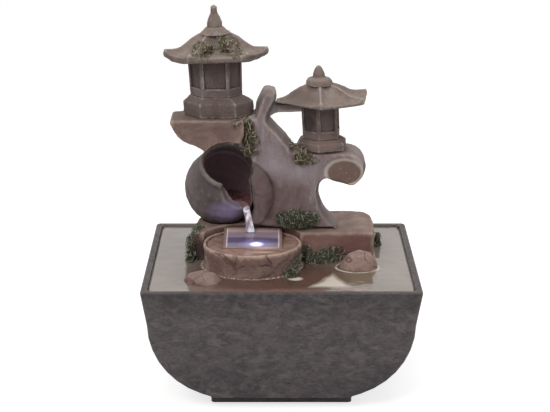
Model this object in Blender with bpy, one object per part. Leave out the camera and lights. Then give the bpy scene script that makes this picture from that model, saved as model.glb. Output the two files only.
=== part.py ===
"""Indoor tabletop fountain: a filled bowl that carries a lift-out garden sculpture.

Metres, +Z up, front towards -Y, origin at the middle of the footprint on the table.
Two stone lanterns stand on a trunk and a ledge, water runs out of a broken jar into a lit basin,
and the pump that drives it stands on the floor of the bowl under the sculpture's deck.
"""
import math

import bmesh
import bpy
from mathutils import Matrix, Vector

# General fits
GAP = 0.0003            # between pieces that touch
EASY_FIT = 0.0008       # round a piece that lifts out or is glued in loosely

# Bowl
BOWL_WIDTH = 0.204
BOWL_DEPTH = 0.157
RIM_Z = 0.0916
SHOULDER_Z = 0.066      # where the straight upper side turns into the round lower side
SIDE_DRAFT = 0.0045     # how far the side leans in from rim to shoulder
FLAT_HALF = 0.040       # half width of the flat bottom
WALL = 0.0048
CORNER_R = 0.0026
PLINTH_WIDTH = 0.104
PLINTH_DEPTH = 0.140
PLINTH_Z = 0.0092       # top of the plinth, where the bowl begins
PAD_T = 0.0015
PAD_R = 0.008
PAD_INSET = 0.014
SEAT_W = 0.003          # inner ledge that carries the deck
SEAT_Z = 0.0762
SEAT_T = 0.003

# Cord gland in the back wall
GLAND_Z = 0.032
GLAND_R = 0.0055
GLAND_BORE_R = 0.0027
GLAND_FLANGE = 0.002

# Deck
DECK_T = 0.003
SLOT_W = 0.0035
SLOT_L = 0.018
SLOT_COUNT = 7
SLOT_FROM_EDGE = 0.0065

# Base rock
ROCK_LEFT_X = -0.0688
ROCK_RIGHT_X = 0.0703
ROCK_FRONT_Y = -0.005
ROCK_BACK_Y = 0.0505
ROCK_TOP_Z = 0.1120
ROCK_EDGE = 0.0015

# Trunk, arm and ledge
TRUNK_FRONT_Y = 0.003
TRUNK_DEPTH = 0.026
TRUNK_BARK = 0.0022             # how far the front face lies inside the outline
TRUNK_BARK_Y = 0.0065           # depth over which the bark slopes back to the outline
TRUNK_EDGE = 0.0010
TRUNK_LEFT_X = -0.0325
TRUNK_TOP_Z = 0.2198
PROP_FRONT_Y = 0.010            # short branch that props the small roof
PROP_DEPTH = 0.012
ARM_TOP_Z = 0.1739
LOG_X = 0.0485
LOG_RX = 0.0158
LOG_RZ = 0.0131
LEDGE_FRONT_Y = -0.008
LEDGE_DEPTH = 0.038
LEDGE_LEFT_X = -0.0832
LEDGE_TOP_Z = 0.2007
LEDGE_BOTTOM_Z = 0.1725
LEDGE_EDGE = 0.0016
LEDGE_CUT_Y = 0.021             # where its slanted back left corner starts
LEDGE_CUT_X = -0.0650

# Pot
POT_X = -0.045
POT_Y = 0.033
POT_Z = 0.1376
POT_R = 0.0303
POT_WALL = 0.0040
POT_RISE = math.radians(55.0)   # how far the mouth looks up
POT_TURN = math.radians(19.0)   # how far the mouth looks to the right
MOUTH_R = 0.0192
LIP_R = 0.0228
LIP_OUT = 0.0270                # lip plane from the middle of the jar
NOTCH_Y = 0.006                 # plane that the outline of the broken notch is given in
NOTCH_DEEP_Y = 0.011            # the broken edge slants down to this plane, then runs straight
NOTCH_SLANT = (0.80, 0.66)      # slant of the broken edge to the right and up, per depth
SIGHT_RISE = math.radians(16.5)
LIP_SHARE = 0.95                # height of the lip as it is seen, with its thickness

# Basin and lamp
BASIN_X = -0.0221
BASIN_Y = -0.0145
BASIN_A = 0.0374
BASIN_B = 0.0318
BASIN_TOP_Z = 0.1080
BASIN_RIM = 0.0022
DISH_DEPTH = 0.0056
BASIN_WAVE = 0.014
WINDOW_HALF = 0.0205
WINDOW_X = -0.0215
WINDOW_FRONT_Y = -0.0242
WINDOW_BACK_Y = 0.0085
WINDOW_FRONT_Z = 0.1078
WINDOW_BACK_Z = 0.1110
WINDOW_T = 0.0012
FRAME_W = 0.0017
FRAME_LIP = 0.0010
LAMP_X = -0.0187
LAMP_Y = -0.0085
LAMP_R = 0.0105
LAMP_H = 0.0085
LED_R = 0.0024
LEAD_R = 0.0013

# Lanterns: plan radius of each course and the height where it ends
LEFT_X = -0.0469
LEFT_Y = 0.0120
LEFT_PLINTH_R = 0.0266
LEFT_PLINTH_H = 0.0112
LEFT_SHOULDER_H = 0.0038
LEFT_BODY_R = 0.0203
LEFT_BODY_H = 0.0277
LEFT_ROOF_R = 0.0396
LEFT_ROOF_DROP = 0.0130
LEFT_EAVE_T = 0.0047
LEFT_COLLAR_R = 0.0108
LEFT_FINIAL_H = 0.0216
LEFT_LEAN = -0.036
LEFT_TILT = 0.028                # the roof stands a little higher on the right
LEFT_SQUASH = 0.65              # plan depth as a share of a regular hexagon's
LEFT_TAPER = 0.0007             # how much narrower the fire box is at its foot
LEFT_SHIFT = -0.0012            # the fire box stands off the plinth's middle
# Corners: degrees from the front, share of the radius
LEFT_CORNERS = [(30, 1), (90, 1), (150, 1), (210, 1), (270, 1), (330, 1)]
LEFT_RISE = [0.0, 0.0003, 0.0003, 0.0003, 0.0003, 0.0]
LEFT_SAG = [0.0017, 0.0017, 0.0, 0.0017, 0.0017, 0.0]
LEFT_UPTURN = 0.0002

RIGHT_X = 0.0309
RIGHT_Y = 0.0150
RIGHT_PLINTH_R = 0.0204
RIGHT_PLINTH_H = 0.0062
RIGHT_SHOULDER_H = 0.0020
RIGHT_BODY_R = 0.0156
RIGHT_BODY_H = 0.0278
RIGHT_ROOF_R = 0.0392
RIGHT_ROOF_DROP = 0.0085
RIGHT_EAVE_T = 0.0035
RIGHT_COLLAR_R = 0.0101
RIGHT_FINIAL_H = 0.0150
RIGHT_LEAN = -0.048
RIGHT_TILT = 0.0
RIGHT_SQUASH = 0.85
RIGHT_TAPER = 0.0004
RIGHT_SHIFT = 0.0
RIGHT_CORNERS = [(-8, 1), (52, 1), (112, 1), (172, 1), (232, 1), (292, 1)]
RIGHT_ROOF_SQUASH = 0.75
RIGHT_ROOF_CORNERS = [(0, 1), (57, 1), (112, 1), (160, 1), (208, 0.62), (278, 1)]
RIGHT_RISE = [-0.0014, -0.0008, 0.0004, 0.0004, -0.0022, -0.0027]
RIGHT_LOW_RISE = [-0.0014, -0.0006, 0.0006, 0.0006, 0.0, 0.0]
RIGHT_SAG = [0.0, 0.0, 0.0, 0.0, 0.0, 0.0]
RIGHT_UPTURN = 0.0003

POST_W = 0.0026
PANEL_DEPTH = 0.0016
SILL_H = 0.0042
RIDGE_RISE = 0.0007

# Pump on the floor of the bowl, its rotor lying along X
PUMP_Y = POT_Y
PUMP_AXIS_Z = 0.0345
PUMP_HALF_Y = 0.0165
PUMP_HALF_Z = 0.0170
CHAMBER_X = -0.0515             # open left face of the pump housing
CHAMBER_L = 0.0100
CHAMBER_R = 0.0118
ROTOR_R = 0.0062
ROTOR_L = 0.0215
ROTOR_CLEAR = 0.0006
PUMP_BACK = 0.0065              # solid motor end behind the rotor
COVER_T = 0.0046
DIAL_T = 0.0022
DIAL_R = 0.0118
DIAL_TAB_W = 0.0032
DIAL_TAB_H = 0.0040
DIAL_TAB_ROOT = 0.0008       # how far the tab reaches into the dial
SHAFT_R = 0.0010
HUB_R = 0.0030
BLADE_COUNT = 6
BLADE_T = 0.0010
IMPELLER_R = 0.0104
PORT_COUNT = 3
PORT_IN_R = 0.0048
PORT_OUT_R = 0.0092
PORT_ANGLE = math.radians(52.0)
SPIGOT_R = 0.0030
SPIGOT_H = 0.0090
HOSE_BORE_R = 0.0034
HOSE_R = 0.0048
NOZZLE_H = 0.0060
CUP_R = 0.0042
CUP_X = 0.0075
CUP_Y = 0.0110

# Stones that stand in the water: x, y, half length, half depth, top z
LEFT_STONE = (-0.0572, -0.0445, 0.0140, 0.0098, 0.0978)
RIGHT_STONE = (0.0577, -0.0195, 0.0168, 0.0106, 0.1040)

# Corners that pads and suction cups stand at: name, side, front or back
CORNERS = [("front_left", -1, -1), ("front_right", 1, -1), ("back_left", -1, 1), ("back_right", 1, 1)]

# Lead of the lamp, from the lamp down through the deck to the pump
LEAD_ROUTE = [(0.0, 0.0, 0.0150), (0.0, 0.0, 0.0230), (-0.0008, 0.0080, 0.0300),
              (-0.0020, 0.0210, 0.0325), (-0.0030, 0.0330, 0.0345), (-0.0033, 0.0385, 0.0375)]

# Heights and faces worked out from the sizes above
FLOOR_Z = PLINTH_Z + WALL
DECK_Z = SEAT_Z + GAP
DECK_TOP_Z = DECK_Z + DECK_T
STAND_Z = DECK_TOP_Z + GAP
PUMP_BOTTOM_Z = PUMP_AXIS_Z - PUMP_HALF_Z
PUMP_TOP_Z = PUMP_AXIS_Z + PUMP_HALF_Z
HOSE_X = POT_X
DISH_Z = BASIN_TOP_Z - DISH_DEPTH
LAMP_TOP_Z = DISH_Z - GAP
WELL_Z = LAMP_TOP_Z - LAMP_H - GAP
POT_AXIS = Vector((math.sin(POT_TURN) * math.cos(POT_RISE),
                   -math.cos(POT_TURN) * math.cos(POT_RISE),
                   math.sin(POT_RISE)))
POT_CENTRE = Vector((POT_X, POT_Y, POT_Z))
MOUTH_CENTRE = POT_CENTRE + POT_AXIS * LIP_OUT

MATERIALS = {
    "bowl": ((0.100, 0.090, 0.084), 0.42, 0.0),
    "rubber": ((0.020, 0.020, 0.021), 0.85, 0.0),
    "deck": ((0.050, 0.047, 0.046), 0.55, 0.0),
    "rock": ((0.180, 0.105, 0.088), 0.75, 0.0),
    "trunk": ((0.200, 0.155, 0.158), 0.78, 0.0),
    "pot": ((0.090, 0.075, 0.074), 0.50, 0.0),
    "basin": ((0.210, 0.145, 0.118), 0.70, 0.0),
    "lantern": ((0.150, 0.112, 0.102), 0.75, 0.0),
    "roof": ((0.215, 0.165, 0.135), 0.72, 0.0),
    "stone": ((0.340, 0.235, 0.205), 0.60, 0.0),
    "moss": ((0.100, 0.105, 0.060), 0.95, 0.0),
    "lamp": ((0.040, 0.040, 0.043), 0.40, 0.0),
    "led": ((0.900, 0.920, 1.000), 0.20, 0.0),
    "clear": ((0.800, 0.800, 0.860), 0.05, 0.0),
    "pump": ((0.022, 0.022, 0.024), 0.38, 0.0),
    "impeller": ((0.620, 0.620, 0.600), 0.35, 0.0),
    "magnet": ((0.060, 0.058, 0.056), 0.45, 0.3),
    "ceramic": ((0.850, 0.840, 0.800), 0.20, 0.0),
    "hose": ((0.640, 0.660, 0.640), 0.25, 0.0),
}


def clear_scene():
    """Remove every object of the scene that the script starts in."""
    for item in list(bpy.data.objects):
        bpy.data.objects.remove(item, do_unlink=True)


def material(name):
    """The Principled material of that name, made on first use."""
    found = bpy.data.materials.get(name)
    if found:
        return found
    colour, roughness, metallic = MATERIALS[name]
    made = bpy.data.materials.new(name)
    made.use_nodes = True
    shader = made.node_tree.nodes["Principled BSDF"]
    shader.inputs["Base Color"].default_value = (*colour, 1.0)
    shader.inputs["Roughness"].default_value = roughness
    shader.inputs["Metallic"].default_value = metallic
    return made


def finish_mesh(name, bm, material_name, smooth_deg=38.0):
    """Turn a bmesh into a named object with outward faces and soft shading."""
    bmesh.ops.remove_doubles(bm, verts=bm.verts, dist=1e-7)
    bmesh.ops.recalc_face_normals(bm, faces=bm.faces)
    mesh = bpy.data.meshes.new(name)
    bm.to_mesh(mesh)
    bm.free()
    mesh.shade_smooth()
    mesh.set_sharp_from_angle(angle=math.radians(smooth_deg))
    made = bpy.data.objects.new(name, mesh)
    made.data.materials.append(material(material_name))
    bpy.context.scene.collection.objects.link(made)
    return made


def skin_rings(bm, rings, close_ends=True, loop=False):
    """Bridge rings of equally many points; a ring of one point is a pole."""
    made = [[bm.verts.new(p) for p in ring] for ring in rings]
    pairs = list(zip(made, made[1:]))
    if loop:
        pairs.append((made[-1], made[0]))
    for low, high in pairs:
        count = max(len(low), len(high))
        for i in range(count):
            j = (i + 1) % count
            if len(low) == 1:
                bm.faces.new((low[0], high[i], high[j]))
            elif len(high) == 1:
                bm.faces.new((low[i], low[j], high[0]))
            else:
                bm.faces.new((low[i], low[j], high[j], high[i]))
    if close_ends and not loop:
        for ring in (made[0], made[-1]):
            if len(ring) > 1:
                bm.faces.new(ring)
    return made


def loft(name, rings, material_name, loop=False, smooth_deg=38.0):
    """A solid skinned over rings, closed at both ends or round in a loop."""
    bm = bmesh.new()
    skin_rings(bm, rings, loop=loop)
    return finish_mesh(name, bm, material_name, smooth_deg)


def rounded_rectangle(half_x, half_y, radius, z, steps=3):
    """Points of a rectangle with round corners, counter-clockwise, at height z."""
    points = []
    for quarter in range(4):
        sx = 1 if quarter in (0, 3) else -1
        sy = 1 if quarter in (0, 1) else -1
        for k in range(steps + 1):
            a = math.pi / 2 * (quarter + k / steps)
            points.append(Vector((sx * (half_x - radius) + radius * math.cos(a),
                                  sy * (half_y - radius) + radius * math.sin(a), z)))
    return points


def ellipse(cx, cy, a, b, z, count=32, wave=0.0, phase=0.0):
    """Points of an ellipse, with a hand-cut waviness as a share of its radius."""
    points = []
    for k in range(count):
        t = 2 * math.pi * k / count
        grow = 1 + wave * (0.6 * math.sin(3 * t + phase) + 0.4 * math.sin(7 * t + 2 * phase))
        points.append(Vector((cx + a * grow * math.cos(t), cy + b * grow * math.sin(t), z)))
    return points


def turned(name, profile, material_name, centre=(0, 0, 0), axis=(0, 0, 1), count=20, loop=False):
    """A turned solid: profile holds (radius, height along the axis) from pole to pole."""
    turn = Vector(axis).to_track_quat("Z", "Y").to_matrix().to_4x4()
    place = Matrix.Translation(Vector(centre)) @ turn
    rings = []
    for radius, height in profile:
        if radius < 1e-6:
            rings.append([place @ Vector((0, 0, height))])
            continue
        rings.append([place @ Vector((radius * math.cos(2 * math.pi * k / count),
                                      radius * math.sin(2 * math.pi * k / count), height))
                      for k in range(count)])
    return loft(name, rings, material_name, loop=loop)


def rod_cutter(name, radius, start, length, axis=(0, 0, 1), count=20):
    """A plain round cutting tool from a start point along an axis."""
    return turned(name, [(0, 0), (radius, 0), (radius, length), (0, length)], "rubber",
                  start, axis, count)


def tube(name, r_out, r_in, low, high, material_name, centre, axis=(0, 0, 1), count=16):
    """A plain tube between two heights along its axis."""
    profile = [(r_out, low), (r_out, high), (r_in, high), (r_in, low)]
    return turned(name, profile, material_name, centre, axis, count, loop=True)


def curve_through(points, per_span=4):
    """An open smooth curve through points, as a list that holds them and those between."""
    ends = [2 * points[0] - points[1]] + points + [2 * points[-1] - points[-2]]
    out = []
    for k in range(1, len(ends) - 2):
        a, b, c, d = ends[k - 1:k + 3]
        for s in range(per_span):
            t = s / per_span
            out.append(0.5 * (2 * b + (c - a) * t + (2 * a - 5 * b + 4 * c - d) * t ** 2
                              + (3 * b - a - 3 * c + d) * t ** 3))
    out.append(points[-1])
    return out


def arc(cx, cz, rx, rz, start_deg, end_deg, steps):
    """Points of an elliptical arc in the X-Z plane."""
    points = []
    for k in range(steps + 1):
        a = math.radians(start_deg + (end_deg - start_deg) * k / steps)
        points.append(Vector((cx + rx * math.cos(a), cz + rz * math.sin(a))))
    return points


def grown(outline, width):
    """A counter-clockwise or clockwise outline moved outwards by a small width."""
    count = len(outline)
    area = sum(outline[k].cross(outline[(k + 1) % count]) for k in range(count))
    side = 1 if area > 0 else -1
    out = []
    for k in range(count):
        along = (outline[(k + 1) % count] - outline[k - 1]).normalized()
        out.append(outline[k] + Vector((along.y, -along.x)) * side * width)
    return out


def plan(points):
    """Two-number points as vectors."""
    return [Vector(p) for p in points]


def slab(name, outline, y_front, depth, edge, material_name, bark=(0.0, 0.0), segments=2):
    """A casting with one outline in X-Z and a rounded rim; bark is the inset of its front face."""
    inset, slope = bark
    rings = [[Vector((p.x, y_front + slope, p.y)) for p in outline],
             [Vector((p.x, y_front + depth, p.y)) for p in outline]]
    if inset:
        rings.insert(0, [Vector((p.x, y_front, p.y)) for p in grown(outline, -inset)])
    bm = bmesh.new()
    skin_rings(bm, rings)
    made = finish_mesh(name, bm, material_name)
    if edge:
        rim = made.modifiers.new("rim", "BEVEL")
        rim.width = edge
        rim.segments = segments
        rim.limit_method = "ANGLE"
        rim.angle_limit = math.radians(50)
    return made


def cutter(made):
    """Mark an object as a tool for cutting: it isn't part of the fountain."""
    made.hide_render = True
    made.display_type = "WIRE"
    return made


def cut(target, tool, operation="DIFFERENCE"):
    """Cut a tool out of a piece."""
    step = target.modifiers.new("cut", "BOOLEAN")
    step.operation = operation
    step.solver = "EXACT"
    step.object = cutter(tool)


def block(name, low, high, material_name, edge=0.0, segments=2):
    """A box between two corners, with an optional rounded rim."""
    bm = bmesh.new()
    ring = [(low[0], low[1]), (high[0], low[1]), (high[0], high[1]), (low[0], high[1])]
    skin_rings(bm, [[Vector((x, y, z)) for x, y in ring] for z in (low[2], high[2])])
    made = finish_mesh(name, bm, material_name)
    if edge:
        rim = made.modifiers.new("rim", "BEVEL")
        rim.width = edge
        rim.segments = segments
    return made


def joined_cutter(name, boxes):
    """One cutting tool made of several boxes, each given by two corners."""
    bm = bmesh.new()
    for low, high in boxes:
        ring = [(low[0], low[1]), (high[0], low[1]), (high[0], high[1]), (low[0], high[1])]
        skin_rings(bm, [[Vector((x, y, z)) for x, y in ring] for z in (low[2], high[2])])
    return finish_mesh(name, bm, "rubber")


# Bowl and what is fixed to it
def bowl_half_width(z, inset=0.0):
    """Half width of the bowl at a height: straight above the shoulder, elliptical below."""
    shoulder = BOWL_WIDTH / 2 - SIDE_DRAFT - inset
    if z >= SHOULDER_Z:
        return shoulder + SIDE_DRAFT * (z - SHOULDER_Z) / (RIM_Z - SHOULDER_Z)
    fall = SHOULDER_Z - PLINTH_Z - inset
    down = min(1.0, (SHOULDER_Z - z) / fall)
    return FLAT_HALF + (shoulder - FLAT_HALF) * math.sqrt(1 - down * down)


def side_heights(inset, steps):
    """Heights down the round side, closer together towards the bottom."""
    fall = SHOULDER_Z - PLINTH_Z - inset
    return [SHOULDER_Z - fall * math.sin(math.pi / 2 * k / steps) for k in range(steps + 1)]


def bowl():
    """The bowl, its plinth and the seat for the deck, as one casting."""
    half_d = BOWL_DEPTH / 2
    rings = []

    def ring(half_x, half_y, z, radius=CORNER_R):
        rings.append(rounded_rectangle(half_x, half_y, radius, z))

    ring(PLINTH_WIDTH / 2, PLINTH_DEPTH / 2, PAD_T + GAP)
    ring(PLINTH_WIDTH / 2, PLINTH_DEPTH / 2, PLINTH_Z)
    for z in reversed(side_heights(0.0, 9)):
        ring(max(bowl_half_width(z), PLINTH_WIDTH / 2), half_d, max(z, PLINTH_Z + 0.0002))
    ring(bowl_half_width(RIM_Z) - 0.0002, half_d, RIM_Z - 0.0008)
    ring(bowl_half_width(RIM_Z) - 0.0010, half_d - 0.0008, RIM_Z)
    inner_d = half_d - WALL
    ring(bowl_half_width(RIM_Z) - WALL, inner_d, RIM_Z)
    ring(bowl_half_width(SEAT_Z) - WALL, inner_d, SEAT_Z)
    seat_half = bowl_half_width(SEAT_Z) - WALL - SEAT_W
    ring(seat_half, inner_d - SEAT_W, SEAT_Z)
    ring(seat_half, inner_d - SEAT_W, SEAT_Z - SEAT_T)
    ring(bowl_half_width(SEAT_Z - SEAT_T - SEAT_W) - WALL, inner_d, SEAT_Z - SEAT_T - SEAT_W)
    for z in side_heights(WALL, 8):
        ring(bowl_half_width(z, WALL), inner_d, z)
    made = loft("bowl", rings, "bowl")
    cut(made, rod_cutter("gland_hole", GLAND_R + GAP, (0, inner_d - WALL, GLAND_Z), WALL * 3, (0, 1, 0)))


def cord_gland():
    """Rubber gland that seals the cord's way through the back wall; the outside lies flush."""
    inner_y = BOWL_DEPTH / 2 - WALL
    flange_r = GLAND_R + GLAND_FLANGE
    profile = [(GLAND_BORE_R, -GAP - GLAND_FLANGE), (flange_r, -GAP - GLAND_FLANGE),
               (flange_r, -GAP), (GLAND_R, -GAP), (GLAND_R, WALL - GAP), (GLAND_BORE_R, WALL - GAP)]
    turned("cord_gland", profile, "rubber", (0, inner_y, GLAND_Z), (0, 1, 0), count=18, loop=True)


def foot_pads():
    """Four rubber pads under the plinth."""
    for name, sx, sy in CORNERS:
        turned("foot_pad_" + name, [(0, 0), (PAD_R, 0), (PAD_R, PAD_T * 0.8), (PAD_R * 0.95, PAD_T),
                                    (0, PAD_T)], "rubber",
               (sx * (PLINTH_WIDTH / 2 - PAD_INSET), sy * (PLINTH_DEPTH / 2 - PAD_INSET), 0), count=14)


# Deck under the sculpture
def deck():
    """Plate that lies on the bowl's seat under the water, with drain slots along its edges."""
    half_x = bowl_half_width(SEAT_Z) - WALL - EASY_FIT
    half_y = BOWL_DEPTH / 2 - WALL - EASY_FIT
    made = loft("deck", [rounded_rectangle(half_x, half_y, 0.002, z, 2)
                         for z in (DECK_Z, DECK_TOP_Z)], "deck")
    low, high = DECK_Z - DECK_T, DECK_TOP_Z + DECK_T
    boxes = []
    pitch = (2 * half_x - SLOT_L) / SLOT_COUNT
    for k in range(SLOT_COUNT):
        x = (k - (SLOT_COUNT - 1) / 2) * pitch
        y = -half_y + SLOT_FROM_EDGE
        boxes.append(((x - SLOT_L / 2, y - SLOT_W / 2, low), (x + SLOT_L / 2, y + SLOT_W / 2, high)))
    for side in (-1, 1):
        for k in (-1, 0, 1):
            x = side * (half_x - SLOT_FROM_EDGE)
            y = k * SLOT_L * 1.6
            boxes.append(((x - SLOT_W / 2, y - SLOT_L / 2, low), (x + SLOT_W / 2, y + SLOT_L / 2, high)))
    cut(made, joined_cutter("deck_slots", boxes))
    cut(made, rod_cutter("deck_hose_hole", HOSE_R + GAP, (HOSE_X, PUMP_Y, low), DECK_T * 3))
    cut(made, rod_cutter("deck_lead_hole", LEAD_R + EASY_FIT, (LAMP_X, LAMP_Y, low), DECK_T * 3, count=12))


# Stonework that stands on the deck
def base_rock():
    """Long block behind the basin, hollowed where the basin and the pot sit in it."""
    left, right, top, front, back = ROCK_LEFT_X, ROCK_RIGHT_X, ROCK_TOP_Z, ROCK_FRONT_Y, ROCK_BACK_Y
    outline = plan([(left, front), (-0.0300, front), (0.0100, front), (0.0450, front), (right, front)])
    outline += curve_through(plan([(right + 0.0014, 0.0067), (right + 0.0015, 0.0210),
                                   (right + 0.0008, 0.0370), (right - 0.0016, 0.0440),
                                   (right - 0.0060, back - 0.0022), (0.0540, back)]), 2)
    outline += plan([(0.0200, back), (-0.0250, back), (-0.0510, back - 0.0006), (-0.0585, back - 0.0040),
                     (-0.0630, 0.0400), (left + 0.0040, 0.0300), (left + 0.0028, 0.0190),
                     (left + 0.0022, 0.0091), (left + 0.0010, -0.0010)])
    steps = [(0.0, STAND_Z), (0.0, (STAND_Z + top) / 2), (0.0, top - ROCK_EDGE),
             (0.3 * ROCK_EDGE, top - 0.3 * ROCK_EDGE), (ROCK_EDGE, top)]
    made = loft("base_rock", [[Vector((q.x, q.y, z)) for q in grown(outline, -inset)]
                              for inset, z in steps], "rock")
    spread = EASY_FIT + BASIN_A * BASIN_WAVE
    seat = loft("basin_seat", [ellipse(BASIN_X, BASIN_Y, BASIN_A + spread, BASIN_B + spread, z)
                               for z in (STAND_Z - WALL, top + WALL)], "rock")
    cut(made, seat)
    cut(made, ball_cutter("pot_seat", POT_R + GAP))
    cut(made, rod_cutter("rock_hose_hole", HOSE_R + GAP, (HOSE_X, PUMP_Y, STAND_Z - WALL),
                         top - STAND_Z + WALL))


def ball_cutter(name, clear_r, steps=12, count=24):
    """A ball round the pot's middle whose flat facets all stay outside a clear radius."""
    radius = clear_r / math.cos(math.pi / (2 * steps)) / math.cos(math.pi / count)
    profile = [(radius * math.sin(math.pi * k / steps), -radius * math.cos(math.pi * k / steps))
               for k in range(steps + 1)]
    profile[0] = (0, -radius)
    profile[-1] = (0, radius)
    return turned(name, profile, "rock", POT_CENTRE, POT_AXIS, count)


def trunk_outline():
    """Outline of the trunk: sawn stub, neck beside the pot, arm that ends in a sawn log, spread foot."""
    foot_z = ROCK_TOP_Z + GAP
    round_pot = POT_R + EASY_FIT
    neck_x = TRUNK_LEFT_X + GAP
    plinth_x = LEFT_X + LEFT_PLINTH_R + EASY_FIT
    pot_low = math.degrees(math.asin((foot_z - POT_Z) / round_pot))
    pot_high = math.degrees(math.acos((neck_x - POT_X) / round_pot))
    outline = arc(POT_X, POT_Z, round_pot, round_pot, pot_low, pot_high, 12)
    outline += plan([(neck_x, LEDGE_TOP_Z), (plinth_x, LEDGE_TOP_Z)])
    outline += curve_through(plan([(plinth_x + 0.0003, LEDGE_TOP_Z + 0.0050), (-0.0184, 0.2088),
                                   (-0.0158, 0.2143), (-0.0134, TRUNK_TOP_Z - 0.0012)]), 3)
    outline += plan([(-0.0108, TRUNK_TOP_Z), (-0.0046, TRUNK_TOP_Z - 0.0014)])
    outline += curve_through(plan([(-0.0034, TRUNK_TOP_Z - 0.0060), (-0.0056, 0.2092), (-0.0088, 0.2032),
                                   (-0.0096, 0.1978), (-0.0056, 0.1920), (0.0018, 0.1842),
                                   (0.0072, ARM_TOP_Z + 0.0036)]), 4)
    outline += plan([(0.0086, ARM_TOP_Z + 0.0006), (0.0100, ARM_TOP_Z), (LOG_X - LOG_RX, ARM_TOP_Z)])
    outline += arc(LOG_X, ARM_TOP_Z - LOG_RZ, LOG_RX, LOG_RZ, 90, -12, 10)
    outline += curve_through(plan([(0.0632, 0.1547), (0.0609, 0.1506), (0.0574, 0.1470), (0.0535, 0.1455),
                                   (0.0491, 0.1467), (0.0438, 0.1480), (0.0384, 0.1497),
                                   (0.0340, 0.1510), (0.0296, 0.1474), (0.0286, 0.1400),
                                   (0.0306, 0.1300), (0.0348, 0.1220), (0.0405, 0.1160),
                                   (0.0442, foot_z)]), 3)
    return outline


def trunk():
    """The slab-like trunk with the arm that carries the small lantern and a branch under its roof."""
    made = slab("trunk", trunk_outline(), TRUNK_FRONT_Y, TRUNK_DEPTH, TRUNK_EDGE, "trunk",
                bark=(TRUNK_BARK, TRUNK_BARK_Y))
    top_z = prop_top()
    end_x = RIGHT_X + RIGHT_LEAN * (top_z - ARM_TOP_Z) - RIGHT_BODY_R - EASY_FIT
    outline = plan([(-0.0110, top_z), (end_x, top_z), (end_x, top_z - 0.0056)])
    outline += curve_through(plan([(0.0063, top_z - 0.0058), (-0.0016, top_z - 0.0062),
                                   (-0.0060, top_z - 0.0078), (-0.0110, top_z - 0.0112)]), 3)
    cut(made, slab("roof_prop", outline, PROP_FRONT_Y, PROP_DEPTH, 0.0, "trunk"), "UNION")
    cut(made, lip_arch())


def prop_top():
    """Height of the branch under the small roof, just clear of the eave."""
    eave_z = ARM_TOP_Z + RIGHT_PLINTH_H + RIGHT_SHOULDER_H + RIGHT_BODY_H + 3 * GAP
    return eave_z + min(RIGHT_LOW_RISE) - 2 * GAP


def lip_arch():
    """Cutting tool that follows the line of sight over the lip, so that the lip shows in front."""
    sight = Vector((0, -math.cos(SIGHT_RISE), math.sin(SIGHT_RISE)))
    above = Vector((0, math.sin(SIGHT_RISE), math.cos(SIGHT_RISE)))
    half_w = LIP_R + EASY_FIT
    half_h = LIP_R * math.sin(POT_RISE) * LIP_SHARE + EASY_FIT
    rings = []
    for along in (-0.040, 0.060):
        middle = MOUTH_CENTRE + sight * along
        rings.append([middle + Vector((half_w * math.cos(t), 0, 0)) + above * half_h * math.sin(t)
                      for t in (2 * math.pi * k / 28 for k in range(28))])
    return loft("lip_arch", rings, "rock")


def upper_ledge():
    """Shelf beside the trunk that carries the tall lantern, arched over the lip of the pot."""
    x, z = LEDGE_LEFT_X, LEDGE_TOP_Z
    outline = plan([(TRUNK_LEFT_X, z), (x + 0.0012, z)])
    outline += curve_through(plan([(x, z - 0.0012), (x + 0.0018, z - 0.0055), (x + 0.0046, z - 0.0103),
                                   (x + 0.0102, z - 0.0163), (x + 0.0190, z - 0.0199),
                                   (x + 0.0228, z - 0.0228), (x + 0.0250, LEDGE_BOTTOM_Z)]), 3)
    outline += plan([(TRUNK_LEFT_X, LEDGE_BOTTOM_Z)])
    made = slab("upper_ledge", outline, LEDGE_FRONT_Y, LEDGE_DEPTH, LEDGE_EDGE, "rock")
    cut(made, lip_arch())
    back_y = LEDGE_FRONT_Y + LEDGE_DEPTH
    corner = [(x - WALL, LEDGE_CUT_Y), (x, LEDGE_CUT_Y), (LEDGE_CUT_X, back_y), (LEDGE_CUT_X, back_y + WALL),
              (x - WALL, back_y + WALL)]
    cut(made, loft("ledge_corner", [[Vector((a, b, c)) for a, b in corner]
                                    for c in (LEDGE_BOTTOM_Z - WALL, z + WALL)], "rock"))


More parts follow.
